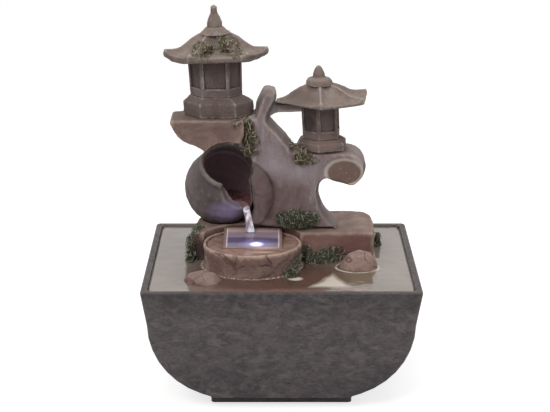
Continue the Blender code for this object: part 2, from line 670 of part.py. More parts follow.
def pot():
    """Round jar on its side with a rolled lip, broken open on the lower right where the water leaves."""
    inner_r = POT_R - POT_WALL
    neck = LIP_R - 0.0006
    start = math.asin(neck / POT_R)
    profile = [(POT_R * math.sin(a), POT_R * math.cos(a))
               for a in (math.pi + (start - math.pi) * k / 9 for k in range(10))]
    profile[0] = (0, -POT_R)
    profile += [(LIP_R, LIP_OUT - 0.0028), (LIP_R - 0.0009, LIP_OUT - 0.0004),
                ((LIP_R + MOUTH_R) / 2, LIP_OUT), (MOUTH_R, LIP_OUT - 0.0016),
                (MOUTH_R - 0.0005, LIP_OUT - 0.0054)]
    start = math.asin((MOUTH_R - 0.0002) / inner_r)
    profile += [(inner_r * math.sin(a), inner_r * math.cos(a))
                for a in (start + (math.pi - start) * k / 8 for k in range(9))]
    profile[-1] = (0, -inner_r)
    made = turned("pot", profile, "pot", POT_CENTRE, POT_AXIS, 24)
    low_z = MOUTH_CENTRE.z
    left = [(-0.0412, low_z - 0.0070), (-0.0434, 0.1462), (-0.0425, 0.1418), (-0.0406, 0.1370),
            (-0.0372, 0.1310), (-0.0338, 0.1257)]
    right = [(-0.0296, 0.1252), (-0.0248, 0.1257), (-0.0234, 0.1300), (-0.0233, 0.1369),
             (-0.0240, 0.1434), (-0.0245, 0.1490), (-0.0265, low_z - 0.0040)]
    rings = []
    for plane_y, y in ((-0.014, -0.014), (NOTCH_DEEP_Y, NOTCH_DEEP_Y), (NOTCH_DEEP_Y, POT_Y - 0.008)):
        across, up = (share * (plane_y - NOTCH_Y) for share in NOTCH_SLANT)
        rings.append([Vector((a + across, y, b + up)) for a, b in left]
                     + [Vector((a, y, b)) for a, b in right])
    cut(made, loft("pot_notch", rings, "pot"))
    cut(made, rod_cutter("pot_hose_hole", HOSE_R + GAP, (HOSE_X, PUMP_Y, POT_Z - POT_R - WALL),
                         WALL * 3))


def basin():
    """Oval stump-like basin with a shallow dish and a well for the lamp."""
    def oval(shrink, z, wave=BASIN_WAVE):
        return ellipse(BASIN_X, BASIN_Y, BASIN_A - shrink, BASIN_B - shrink, z, 32, wave, 0.8)

    def around_lamp(radius, z):
        return ellipse(LAMP_X, LAMP_Y, radius, radius, z, 32)

    height = BASIN_TOP_Z - STAND_Z
    rings = [oval(0.0006, STAND_Z), oval(0.0, STAND_Z + height * 0.25),
             oval(0.0009, STAND_Z + height * 0.70), oval(0.0001, BASIN_TOP_Z - 0.0016),
             oval(0.0007, BASIN_TOP_Z), oval(BASIN_RIM, BASIN_TOP_Z, 0.008),
             oval(BASIN_RIM + 0.0015, DISH_Z, 0.008), around_lamp(LAMP_R + GAP, DISH_Z),
             around_lamp(LAMP_R + GAP, WELL_Z), around_lamp(LEAD_R + EASY_FIT, WELL_Z),
             around_lamp(LEAD_R + EASY_FIT, STAND_Z)]
    loft("basin", rings, "basin", loop=True)


# Lamp in the basin
def lamp():
    """Sealed lamp puck with its light-emitting dome, in the well of the basin."""
    bottom = WELL_Z + GAP
    recess = 0.0016
    turned("lamp_housing", [(0, bottom), (LAMP_R - 0.0008, bottom), (LAMP_R, bottom + 0.0008),
                            (LAMP_R, LAMP_TOP_Z - 0.0006), (LAMP_R - 0.0006, LAMP_TOP_Z),
                            (LED_R + GAP, LAMP_TOP_Z), (LED_R + GAP, LAMP_TOP_Z - recess),
                            (0, LAMP_TOP_Z - recess)], "lamp", (LAMP_X, LAMP_Y, 0))
    low = LAMP_TOP_Z - recess + GAP
    dome = [(LED_R * math.cos(a), LAMP_TOP_Z + GAP + LED_R * math.sin(a))
            for a in (math.pi / 2 * k / 4 for k in range(4))]
    turned("led", [(0, low), (LED_R, low)] + dome + [(0, LAMP_TOP_Z + GAP + LED_R)], "led",
           (LAMP_X, LAMP_Y, 0), count=14)


def window_height(y):
    """Top of the sloping window at a place front to back."""
    share = (y - WINDOW_FRONT_Y) / (WINDOW_BACK_Y - WINDOW_FRONT_Y)
    return WINDOW_FRONT_Z + share * (WINDOW_BACK_Z - WINDOW_FRONT_Z)


def frame_foot(y):
    """Underside of the window frame: on the dish in front, on the basin's rim behind."""
    share = (y - WINDOW_FRONT_Y) / (WINDOW_BACK_Y - WINDOW_FRONT_Y)
    front = DISH_Z + GAP
    back = BASIN_TOP_Z + 2 * GAP
    return front + max(share, 0.0) * (back - front)


def window_ring(grow, height, drop=0.0):
    """Corners of the window, grown by some width, at the height that a function gives."""
    half = WINDOW_HALF + grow
    front, back = WINDOW_FRONT_Y - grow, WINDOW_BACK_Y + grow
    corners = [(-half, front), (half, front), (half, back), (-half, back)]
    return [Vector((WINDOW_X + x, y, height(y) - drop)) for x, y in corners]


def window():
    """Clear window over the lamp, held in a sloping frame."""
    rebate = WINDOW_T + 2 * GAP
    loft("window_frame", [window_ring(FRAME_W, frame_foot), window_ring(FRAME_W, window_height),
                          window_ring(0.0, window_height), window_ring(0.0, window_height, rebate),
                          window_ring(-FRAME_LIP, window_height, rebate),
                          window_ring(-FRAME_LIP, frame_foot)], "lamp", loop=True)
    loft("lamp_window", [window_ring(-GAP, window_height, WINDOW_T + GAP),
                         window_ring(-GAP, window_height, GAP)], "clear")


# Lanterns
def hexagon(x, y, radius, z, squash, corners, per_side=1, rise=None, upturn=0.0, sag=None, rib=0.0):
    """Points of a six-sided course from (angle, share of radius) corners, counter-clockwise.

    Rise lifts each corner, upturn curls the corners up, sag lets the sides hang and rib raises ridges.
    """
    placed = []
    for k, (angle, share) in enumerate(corners):
        a = math.radians(angle)
        placed.append(Vector((x + share * radius * math.sin(a), y - share * squash * radius * math.cos(a),
                              z + (rise[k] if rise else 0.0))))
    points = []
    for k in range(6):
        for step in range(per_side):
            share = step / per_side
            point = placed[k].lerp(placed[(k + 1) % 6], share)
            point.z += upturn * abs(1 - 2 * share) ** 2.5 + (0.0 if step else rib)
            if sag:
                point.z -= sag[k] * math.sin(math.pi * share) ** 0.6
            points.append(point)
    return points


def settle(made, x, base_z, lean, tilt, body_z, head_z, shift=0.0):
    """Lean a stone the higher it stands, tilt what lies above the fire box, and shift the box itself."""
    for vertex in made.data.vertices:
        height = vertex.co.z
        share = min(1.0, max(0.0, (height - body_z) / (head_z - body_z)))
        vertex.co.z += tilt * (vertex.co.x - x) * share
        vertex.co.x += lean * (height - base_z) + (shift if body_z - 0.0016 < height < head_z + GAP / 2 else 0)


def roof_fall():
    """Slope of a roof from collar to eave: share of the way out, share of the drop."""
    return curve_through(plan([(0.0, 0.0), (0.14, 0.17), (0.27, 0.36), (0.41, 0.62), (0.55, 0.85),
                               (0.70, 0.96), (1.0, 1.0)]), 2)


def roof_moss(name, first, last, left, right, height):
    """Moss on the front slope of the tall lantern's roof, between two steps of the slope."""
    base_z = LEDGE_TOP_Z + GAP
    foot_z = base_z + LEFT_PLINTH_H + LEFT_SHOULDER_H + GAP
    head_z = foot_z + LEFT_BODY_H
    collar_z = head_z + GAP + LEFT_EAVE_T + LEFT_ROOF_DROP
    fall = roof_fall()
    half = math.cos(math.radians(LEFT_CORNERS[0][0]))
    rings = []
    for k in range(first, last + 1):
        share = math.sin(math.pi * (k - first + 0.6) / (last - first + 1.2))
        reach = LEFT_COLLAR_R + (LEFT_ROOF_R - 0.0008 - LEFT_COLLAR_R) * fall[k].x
        foot = Vector((LEFT_X, LEFT_Y - LEFT_SQUASH * reach * half, collar_z - LEFT_ROOF_DROP * fall[k].y))
        out = Vector((0, -0.55, 0.83))
        low, high = [], []
        for step in range(6):
            across = left + (right - left) * step / 5
            place = foot + Vector((across * reach / 2, 0, 0))
            low.append(place + out * 2 * GAP)
            high.append(place + out * (3 * GAP + height * share * math.sin(math.pi * (step + 0.5) / 6)))
        rings.append(low + high[::-1])
    patch = loft(name, rings, "moss", smooth_deg=60)
    settle(patch, LEFT_X, base_z, LEFT_LEAN, LEFT_TILT, foot_z, head_z)


def lantern(side, x, y, base_z, plans, sizes):
    """One stone lantern of four courses: plinth, fire box, roof and finial."""
    squash, corners, roof_squash, roof_corners, rise, low_rise, sag = plans
    (plinth_r, plinth_h, shoulder_h, body_r, body_h, roof_r, roof_drop, eave_t,
     collar_r, finial_h, upturn, lean, tilt, taper, shift) = sizes
    edge_z = base_z + plinth_h
    top_z = edge_z + shoulder_h
    body_z = top_z + GAP
    sill_z = body_z + SILL_H
    head_z = body_z + body_h
    stones = []

    def course(radius, z):
        return hexagon(x, y, radius, z, squash, corners)

    def tiles(radius, z, high=0.0, low=0.0, rib=0.0):
        lifts = [high * a + low * b for a, b in zip(rise, low_rise)]
        return hexagon(x, y, radius, z, roof_squash, roof_corners, 4, lifts, upturn * (high + low) ** 1.5,
                       [low * hang for hang in sag], rib)

    stones.append(loft(side + "_lantern_plinth",
                       [course(plinth_r - 0.0006, base_z), course(plinth_r, base_z + 0.0010),
                        course(plinth_r, edge_z - 0.0008), course(plinth_r - 0.0008, edge_z),
                        course((plinth_r + body_r) / 2, edge_z + shoulder_h * 0.45),
                        course(body_r + 0.0008 - taper, top_z)], "lantern", smooth_deg=25))

    bm = bmesh.new()
    made = skin_rings(bm, [course(body_r - taper, body_z), course(body_r - 0.8 * taper, sill_z),
                           course(body_r, head_z)])
    panels = [f for f in bm.faces if len(f.verts) == 4
              and all(v in made[1] or v in made[2] for v in f.verts)]
    bmesh.ops.recalc_face_normals(bm, faces=bm.faces)
    bmesh.ops.inset_individual(bm, faces=panels, thickness=POST_W, depth=0.0)
    bmesh.ops.inset_individual(bm, faces=panels, thickness=0.0002, depth=-PANEL_DEPTH)
    stones.append(finish_mesh(side + "_lantern_fire_box", bm, "lantern", smooth_deg=25))

    eave_z = head_z + GAP
    slope_z = eave_z + eave_t
    collar_z = slope_z + roof_drop
    rings = [tiles(body_r * 0.90, eave_z), tiles(body_r + 0.0030, eave_z),
             tiles(roof_r - 0.0030, eave_z, low=1.0),
             tiles(roof_r - 0.0006, eave_z + eave_t * 0.30, high=0.3, low=0.7),
             tiles(roof_r, eave_z + eave_t * 0.75, high=0.8, low=0.2)]
    for point in reversed(roof_fall()):
        rings.append(tiles(collar_r + (roof_r - 0.0008 - collar_r) * point.x, collar_z - roof_drop * point.y,
                           high=point.x ** 2, rib=RIDGE_RISE * min(1.0, 2.5 * point.x)))
    roof = loft(side + "_lantern_roof", rings, "roof", smooth_deg=32)
    stones.append(roof)

    finial_z = collar_z + GAP
    shares = FINIAL_TALL if side == "left" else FINIAL_SHORT
    stones.append(turned(side + "_lantern_finial",
                         [(r * collar_r, finial_z + h * finial_h) for r, h in shares], "roof",
                         (x, y, 0), count=16))
    for stone in stones:
        settle(stone, x, base_z, lean, tilt, body_z, head_z, shift)
    return roof


# Turned outlines of the two finials, as shares of collar radius and height
FINIAL_TALL = [(0, 0), (1.0, 0), (1.0, 0.05), (0.80, 0.13), (0.62, 0.23), (0.47, 0.255), (0.53, 0.29),
               (0.51, 0.42), (0.40, 0.56), (0.27, 0.69), (0.235, 0.78), (0.22, 0.93), (0, 1.0)]
FINIAL_SHORT = [(0, 0), (1.0, 0), (1.0, 0.10), (0.93, 0.24), (0.86, 0.31), (0.60, 0.37), (0.46, 0.41),
                (0.45, 0.52), (0.41, 0.63), (0.33, 0.76), (0.20, 0.90), (0, 1.0)]


def lanterns():
    """The tall lantern on the ledge and the small one on the arm, its roof notched round the trunk."""
    lantern("left", LEFT_X, LEFT_Y, LEDGE_TOP_Z + GAP,
            (LEFT_SQUASH, LEFT_CORNERS, LEFT_SQUASH, LEFT_CORNERS, LEFT_RISE, LEFT_RISE, LEFT_SAG),
            (LEFT_PLINTH_R, LEFT_PLINTH_H, LEFT_SHOULDER_H, LEFT_BODY_R, LEFT_BODY_H, LEFT_ROOF_R,
             LEFT_ROOF_DROP, LEFT_EAVE_T, LEFT_COLLAR_R, LEFT_FINIAL_H, LEFT_UPTURN, LEFT_LEAN,
             LEFT_TILT, LEFT_TAPER, LEFT_SHIFT))
    roof = lantern("right", RIGHT_X, RIGHT_Y, ARM_TOP_Z + GAP,
                   (RIGHT_SQUASH, RIGHT_CORNERS, RIGHT_ROOF_SQUASH, RIGHT_ROOF_CORNERS, RIGHT_RISE,
                    RIGHT_LOW_RISE, RIGHT_SAG),
                   (RIGHT_PLINTH_R, RIGHT_PLINTH_H, RIGHT_SHOULDER_H, RIGHT_BODY_R, RIGHT_BODY_H,
                    RIGHT_ROOF_R, RIGHT_ROOF_DROP, RIGHT_EAVE_T, RIGHT_COLLAR_R, RIGHT_FINIAL_H,
                    RIGHT_UPTURN, RIGHT_LEAN, RIGHT_TILT, RIGHT_TAPER, RIGHT_SHIFT))
    cut(roof, slab("roof_room", grown(trunk_outline(), 2 * GAP), TRUNK_FRONT_Y - WALL,
                   TRUNK_DEPTH + 2 * WALL, 0.0, "roof"))


# Stones and moss
def pebble(name, spec, slant, phase):
    """A stone that stands in the water, flat below and round above."""
    x, y, half_x, half_y, top_z = spec
    rings = []
    for k in range(7):
        share = k / 7
        grow = (1 - share ** 2.4) ** 0.5
        rings.append(ellipse(x + slant * share * half_x, y, half_x * grow, half_y * grow,
                             STAND_Z + (top_z - STAND_Z) * share, 16, 0.03, phase))
    rings.append([Vector((x + slant * half_x, y, top_z))])
    loft(name, rings, "stone")


def moss_pad(name, base, across, along, half_u, half_v, height, phase):
    """A cushion of moss on a face: base point, two directions in the face, half sizes, height."""
    across, along = Vector(across), Vector(along)
    out = across.cross(along)
    rings = []
    for share in (0.0, 0.35, 0.68, 0.90):
        grow = (1 - share ** 2) ** 0.5
        flat = ellipse(0, 0, half_u * grow, half_v * grow, height * share, 12, 0.10, phase)
        rings.append([Vector(base) + across * p.x + along * p.y + out * p.z for p in flat])
    rings.append([Vector(base) + out * height])
    loft(name, rings, "moss", smooth_deg=60)


def moss():
    """Clumps of moss where the photograph shows them."""
    front = ((1, 0, 0), (0, 0, 1))
    top = ((1, 0, 0), (0, 1, 0))
    roof_moss("moss_roof_right", 1, 8, 0.25, 0.95, 0.0034)
    roof_moss("moss_roof_left", 5, 9, -0.80, -0.10, 0.0026)
    moss_pad("moss_vine", (-0.0243, TRUNK_FRONT_Y - GAP, 0.1860), *front, 0.0072, 0.0150, 0.0045, 0.9)
    moss_pad("moss_crook", (0.0156, TRUNK_FRONT_Y - GAP, 0.1706), *front, 0.0064, 0.0074, 0.0036, 2.1)
    moss_pad("moss_trunk_foot", (0.0120, TRUNK_FRONT_Y - GAP, 0.1206), *front, 0.0170, 0.0072, 0.0062, 0.2)
    moss_pad("moss_rock_left", (ROCK_LEFT_X - 0.0004, ROCK_FRONT_Y - GAP, 0.0960), *front, 0.0056, 0.0150, 0.0070, 2.8)
    moss_pad("moss_rock_front", (0.0300, ROCK_FRONT_Y - GAP, 0.0885), *front, 0.0150, 0.0085, 0.0100, 1.1)
    moss_pad("moss_basin_foot", (0.0070, -0.0420, STAND_Z), *top, 0.0072, 0.0040, 0.0190, 0.5)
    moss_pad("moss_rock_right", (ROCK_RIGHT_X + 0.0058, 0.0300, STAND_Z), *top, 0.0042, 0.0080, 0.0215, 1.9)


# Pump under the deck
def sector(bm, x_low, x_high, start):
    """An arc-shaped port through the intake, as a solid between two planes across X."""
    steps = 4
    angles = [start + PORT_ANGLE * k / steps for k in range(steps + 1)]
    edge = [(PORT_OUT_R, a) for a in angles] + [(PORT_IN_R, a) for a in reversed(angles)]
    skin_rings(bm, [[Vector((x, PUMP_Y + r * math.cos(a), PUMP_AXIS_Z + r * math.sin(a)))
                     for r, a in edge] for x in (x_low, x_high)])


def ports(name, x_low, x_high):
    """Cutting tool for all the arc-shaped intake ports."""
    bm = bmesh.new()
    for k in range(PORT_COUNT):
        sector(bm, x_low, x_high, 2 * math.pi * k / PORT_COUNT + math.pi / 2 - PORT_ANGLE / 2)
    return finish_mesh(name, bm, "pump")


def pump():
    """Sealed pump body, its intake cover, rotor, shaft, throttle dial, hose and suction cups."""
    axis_point = Vector((0, PUMP_Y, PUMP_AXIS_Z))
    along = (1, 0, 0)
    well_x = CHAMBER_X + CHAMBER_L + ROTOR_L
    end_x = well_x + PUMP_BACK
    low = (CHAMBER_X, PUMP_Y - PUMP_HALF_Y, PUMP_BOTTOM_Z)
    housing = block("pump_housing", low, (end_x, PUMP_Y + PUMP_HALF_Y, PUMP_TOP_Z), "pump", 0.0020)
    cut(housing, rod_cutter("spigot", SPIGOT_R, (HOSE_X, PUMP_Y, PUMP_AXIS_Z + CHAMBER_R),
                            PUMP_HALF_Z - CHAMBER_R + SPIGOT_H, count=16), "UNION")
    well_r = ROTOR_R + ROTOR_CLEAR
    socket = SHAFT_R + GAP / 2
    cut(housing, turned("rotor_well", [(0, -WALL), (CHAMBER_R, -WALL), (CHAMBER_R, CHAMBER_L),
                                       (well_r, CHAMBER_L), (well_r, CHAMBER_L + ROTOR_L),
                                       (socket, CHAMBER_L + ROTOR_L),
                                       (socket, CHAMBER_L + ROTOR_L + 0.0030),
                                       (0, CHAMBER_L + ROTOR_L + 0.0030)], "pump",
                        axis_point + Vector((CHAMBER_X, 0, 0)), along, 20))
    cut(housing, rod_cutter("outlet_bore", SPIGOT_R - 0.0009, (HOSE_X, PUMP_Y, PUMP_AXIS_Z + CHAMBER_R * 0.6),
                            PUMP_HALF_Z + SPIGOT_H, count=12))

    inside_x = CHAMBER_X - GAP
    outside_x = inside_x - COVER_T
    cover = block("pump_cover", (outside_x, PUMP_Y - PUMP_HALF_Y, PUMP_BOTTOM_Z),
                  (inside_x, PUMP_Y + PUMP_HALF_Y, PUMP_TOP_Z), "pump", 0.0012, 1)
    pivot_r = 0.0018
    cut(cover, rod_cutter("dial_pivot", pivot_r, axis_point + Vector((outside_x - DIAL_T - GAP, 0, 0)),
                          DIAL_T + COVER_T / 2, along, 12), "UNION")
    cut(cover, ports("cover_ports", outside_x - WALL, inside_x + WALL))
    cut(cover, rod_cutter("shaft_socket", socket, axis_point + Vector((inside_x - 0.0014, 0, 0)),
                          WALL, along, 12))

    dial_x = outside_x - GAP - DIAL_T
    dial = turned("flow_dial", [(pivot_r + GAP, 0), (DIAL_R, 0), (DIAL_R, DIAL_T), (pivot_r + GAP, DIAL_T)],
                  "pump", axis_point + Vector((dial_x, 0, 0)), along, 24, loop=True)
    tab_top = PUMP_AXIS_Z + DIAL_R + DIAL_TAB_H
    tab = block("dial_tab", (dial_x, PUMP_Y - DIAL_TAB_W / 2, PUMP_AXIS_Z + DIAL_R - DIAL_TAB_ROOT),
                (dial_x + DIAL_T, PUMP_Y + DIAL_TAB_W / 2, tab_top), "pump")
    cut(dial, tab, "UNION")
    cut(dial, ports("dial_ports", dial_x - WALL, dial_x + DIAL_T + WALL))

    shaft_end = well_x + 0.0027
    shaft_start = inside_x - 0.0012
    turned("rotor_shaft", [(0, 0), (SHAFT_R, 0), (SHAFT_R, shaft_end - shaft_start),
                           (0, shaft_end - shaft_start)], "ceramic",
           axis_point + Vector((shaft_start, 0, 0)), along, 10)

    blade_x = CHAMBER_X + EASY_FIT
    disc_x = blade_x + CHAMBER_L * 0.62
    back_x = disc_x + 0.0011
    angles, star = [], []
    for k in range(BLADE_COUNT):
        a = 2 * math.pi * k / BLADE_COUNT
        root, tip = BLADE_T / 2 / HUB_R, BLADE_T / 2 / IMPELLER_R
        for r, step in ((HUB_R, -root), (IMPELLER_R, -tip), (IMPELLER_R, tip), (HUB_R, root)):
            angles.append(a + step)
            star.append(r)

    def wheel_ring(x, radii):
        return [Vector((x, PUMP_Y + r * math.cos(a), PUMP_AXIS_Z + r * math.sin(a)))
                for r, a in zip(radii, angles)]

    disc = [IMPELLER_R + 0.0003] * len(angles)
    bore = [SHAFT_R + GAP] * len(angles)
    loft("impeller", [wheel_ring(back_x, disc), wheel_ring(disc_x, disc), wheel_ring(disc_x, star),
                      wheel_ring(blade_x, star), wheel_ring(blade_x, bore), wheel_ring(back_x, bore)],
         "impeller", loop=True, smooth_deg=20)
    magnet_x = back_x + GAP
    tube("rotor_magnet", ROTOR_R, SHAFT_R + GAP, 0, well_x - EASY_FIT - magnet_x, "magnet",
         axis_point + Vector((magnet_x, 0, 0)), along, 18)

    hose_end = POT_Z - POT_R + POT_WALL + 0.0040
    tube("riser_hose", HOSE_R, HOSE_BORE_R, PUMP_TOP_Z + GAP, hose_end, "hose", (HOSE_X, PUMP_Y, 0))
    nozzle_out = HOSE_BORE_R - GAP
    turned("water_nozzle", [(0.0020, hose_end - NOZZLE_H), (nozzle_out, hose_end - NOZZLE_H),
                            (nozzle_out, hose_end + GAP), (HOSE_R, hose_end + GAP),
                            (HOSE_R, hose_end + 0.0012), (0.0030, hose_end + 0.0036),
                            (0.0020, hose_end + 0.0036)], "pump", (HOSE_X, PUMP_Y, 0), loop=True, count=16)

    middle_x = (CHAMBER_X + end_x) / 2
    cup_z = FLOOR_Z + 2 * GAP
    neck_r = CUP_R * 0.40
    for name, sx, sy in CORNERS:
        turned("suction_cup_" + name,
               [(0, cup_z + 0.0009), (CUP_R - 0.0008, cup_z), (CUP_R, cup_z + 0.0002),
                (CUP_R * 0.55, cup_z + 0.0014), (neck_r, PUMP_BOTTOM_Z - GAP), (0, PUMP_BOTTOM_Z - GAP)],
               "rubber", (middle_x + sx * CUP_X, PUMP_Y + sy * CUP_Y, 0), count=12)


def lamp_lead():
    """The lamp's lead, down through the basin and the deck and along to the top of the pump."""
    start = Vector((LAMP_X, LAMP_Y, WELL_Z))
    knots = [start] + [start + Vector((x, y, -z)) for x, y, z in LEAD_ROUTE]
    knots.append(Vector((knots[-1].x, knots[-1].y, PUMP_TOP_Z + GAP)))
    data = bpy.data.curves.new("lamp_lead", "CURVE")
    data.dimensions = "3D"
    data.bevel_depth = LEAD_R
    data.bevel_resolution = 2
    data.use_fill_caps = True
    spline = data.splines.new("POLY")
    route = curve_through(knots, 3)
    spline.points.add(len(route) - 1)
    for point, place in zip(spline.points, route):
        point.co = (*place, 1.0)
    made = bpy.data.objects.new("lamp_lead", data)
    data.materials.append(material("rubber"))
    bpy.context.scene.collection.objects.link(made)


clear_scene()
bowl()
foot_pads()
cord_gland()
deck()
base_rock()
trunk()
upper_ledge()
pot()
basin()
lamp()
window()
lanterns()
pebble("left_stone", LEFT_STONE, -0.10, 0.4)
pebble("right_stone", RIGHT_STONE, 0.12, 1.7)
moss()
pump()
lamp_lead()
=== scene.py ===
import math

import bmesh
import bpy
import numpy as np
from mathutils import Euler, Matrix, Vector, noise
from mathutils.bvhtree import BVHTree


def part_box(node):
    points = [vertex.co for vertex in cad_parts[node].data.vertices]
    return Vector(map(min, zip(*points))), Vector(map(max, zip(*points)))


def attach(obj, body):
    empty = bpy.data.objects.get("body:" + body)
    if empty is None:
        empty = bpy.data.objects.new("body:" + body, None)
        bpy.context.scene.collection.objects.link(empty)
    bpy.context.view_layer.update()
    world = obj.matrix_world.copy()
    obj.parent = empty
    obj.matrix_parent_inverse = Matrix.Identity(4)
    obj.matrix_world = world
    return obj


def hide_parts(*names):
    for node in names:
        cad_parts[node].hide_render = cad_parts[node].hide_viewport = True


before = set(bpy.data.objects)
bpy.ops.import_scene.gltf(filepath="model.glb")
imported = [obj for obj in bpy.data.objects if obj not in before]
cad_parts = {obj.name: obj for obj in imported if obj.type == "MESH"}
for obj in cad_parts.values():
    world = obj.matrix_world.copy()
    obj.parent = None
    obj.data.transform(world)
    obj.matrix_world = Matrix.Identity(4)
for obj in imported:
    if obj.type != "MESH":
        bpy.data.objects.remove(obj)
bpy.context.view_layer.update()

SCENE = bpy.context.scene

# Places and sizes
WATER_Z = 0.0902            # level of the pool in the bowl
WATER_DEEP = 0.0030         # thickness of the sheet that stands for the pool
BOWL_WALL = 0.0048
DISH_Z = 0.1066             # level of the water in the basin
DISH_WALL = 0.0032
JAR_CENTRE = Vector((-0.045, 0.033, 0.1376))
JAR_INNER_R = 0.0263
JAR_WATER_Z = 0.1274
LED_SPOT = Vector((-0.0187, -0.0192, 0.1082))
WINDOW_X = -0.0215
LOG_END = (0.0478, 0.1573)          # middle of the sawn end, X and Z
LOG_HALF = (0.0138, 0.0100)
GLOW_SPOT = Vector((-0.040, 0.004, 0.124))

# The camera that the photograph was taken with
CAMERA_PLACE = (-0.0047, -1.0118, 0.4629)
CAMERA_DOWN_DEG = 18.11
FOCAL_PIXELS = 1400.0
PHOTO_WIDTH = 550.0
SENSOR_MM = 36.0

# Light
ROOM_LIGHT = 0.50           # the white room's light on the object
FLOOR_GLOW = 0.70           # share of the floor's white that no shadow darkens
FLOOR_REACH = 6.0

# Wear of cast stone, and painted shade in its recesses
SOFTEN_SHARE = 0.6          # of the way to the neighbours' mean, each time that a piece is softened
WIDE_PASSES = 10            # times that a shape is averaged to find what bends away from it
EDGE_BEND = (78, 97.5, 0.10)        # percentiles of bend between which an edge grows pale, least bend
HOLLOW_BEND = (86, 99, 0.24)        # the same for hollows, which grow dark
RECESS_DEPTH = (0.00045, 0.0004)    # depth under the hull where a recess starts, and how fast its painted shade darkens

# Moss and water
SQUARE_MM = 1.0e6           # in a square metre
FULL_TURN = 6.283           # radians
BED_LUMPS = (420.0, 0.0006)         # of the clumps' bed: how fine and how high
WAVE_SCALE = 120.0          # how fine the waves on the sheets of water are


# Colours
def paint(red, green, blue):
    """A colour written as screen values from 0 to 255."""
    out = []
    for value in (red, green, blue):
        share = value / 255
        out.append(share / 12.92 if share <= 0.04045 else ((share + 0.055) / 1.055) ** 2.4)
    return (*out, 1.0)


# Node trees
class Tree:
    """Short calls for adding nodes and joining them; a colour may grow in it coat by coat."""

    def __init__(self, tree):
        self.tree = tree
        self.colour = None

    def add(self, kind, values=None, **settings):
        node = self.tree.nodes.new(kind)
        for name, value in settings.items():
            setattr(node, name, value)
        self.fill(node, values or {})
        return node

    def fill(self, node, values):
        """Links or constants for a node's inputs; an underscore in a name stands for a space."""
        for key, value in values.items():
            into = node.inputs[key.replace("_", " ") if isinstance(key, str) else key]
            if isinstance(value, bpy.types.NodeSocket):
                self.link(value, into)
            else:
                into.default_value = value

    def link(self, out, into):
        self.tree.links.new(out, into)

    def math(self, operation, a, b=0.0, clamp=False):
        return self.add("ShaderNodeMath", {0: a, 1: b}, operation=operation, use_clamp=clamp).outputs[0]

    def plus(self, a, b):
        return self.math("ADD", a, b)

    def minus(self, a, b, clamp=False):
        return self.math("SUBTRACT", a, b, clamp)

    def times(self, a, b, clamp=False):
        return self.math("MULTIPLY", a, b, clamp)

    def size(self, a):
        return self.math("ABSOLUTE", a)

    def most(self, a, b):
        return self.math("MAXIMUM", a, b)

    def vector(self, operation, *values):
        return self.add("ShaderNodeVectorMath", dict(enumerate(values)), operation=operation).outputs

    def scaled(self, a, share):
        return self.add("ShaderNodeVectorMath", {0: a, "Scale": share}, operation="SCALE").outputs[0]

    def axes(self, place):
        return self.add("ShaderNodeSeparateXYZ", {0: place}).outputs

    def spread(self, value, low, high, to_low=0.0, to_high=1.0):
        """The value's range from low to high, drawn out to a new range and held there."""
        return self.add("ShaderNodeMapRange", {0: value, 1: low, 2: high, 3: to_low, 4: to_high}).outputs[0]

    def blend(self, share, a, b):
        """A mix of two colours, each a socket or a paint's three values."""
        a, b = (paint(*c) if isinstance(c, tuple) else c for c in (a, b))
        return self.add("ShaderNodeMix", {0: share, 6: a, 7: b}, data_type="RGBA").outputs[2]

    def lay(self, mask, new, share=None):
        """Lays a colour over the tree's own where the mask says, whole or a share of it."""
        self.colour = self.blend(mask if share is None else self.times(mask, share), self.colour, new)

    def coats(self, *rows):
        """Lays paint where a value nears the end of a range; a row is value, low, high, share, paint."""
        for value, low, high, share, new in rows:
            self.lay(self.spread(value, low, high, 0.0, share), new)

    def clouds(self, place, scale, detail=4.0, rough=0.55, twist=0.0):
        return self.add("ShaderNodeTexNoise", {"Vector": place, "Scale": scale, "Detail": detail,
                                               "Roughness": rough, "Distortion": twist}).outputs[0]

    def stretched(self, place, scale, turn=0.0):
        """The place with its axes scaled, turned by some degrees round Y."""
        return self.add("ShaderNodeMapping", {"Vector": place, "Scale": scale,
                                              "Rotation": (0.0, math.radians(turn), 0.0)}).outputs[0]

    def group(self, tree, **values):
        return self.add("ShaderNodeGroup", values, node_tree=tree).outputs


COLOUR, VALUE, VECTOR = "NodeSocketColor", "NodeSocketFloat", "NodeSocketVector"
SHAPE = "NodeSocketGeometry"


def node_group(name, inputs, outputs, kind="ShaderNodeTree"):
    """A group's tree helper, inputs and outputs; a socket has a kind, or a number to start from."""
    tree = bpy.data.node_groups.new(name, kind)
    for way, sockets in (("INPUT", inputs), ("OUTPUT", outputs)):
        for label, start in sockets.items():
            socket = {float: VALUE, int: "NodeSocketInt"}.get(type(start), start)
            made = tree.interface.new_socket(label, in_out=way, socket_type=socket)
            if socket != start:
                made.default_value = start
    t = Tree(tree)
    return t, t.add("NodeGroupInput").outputs, t.add("NodeGroupOutput").inputs


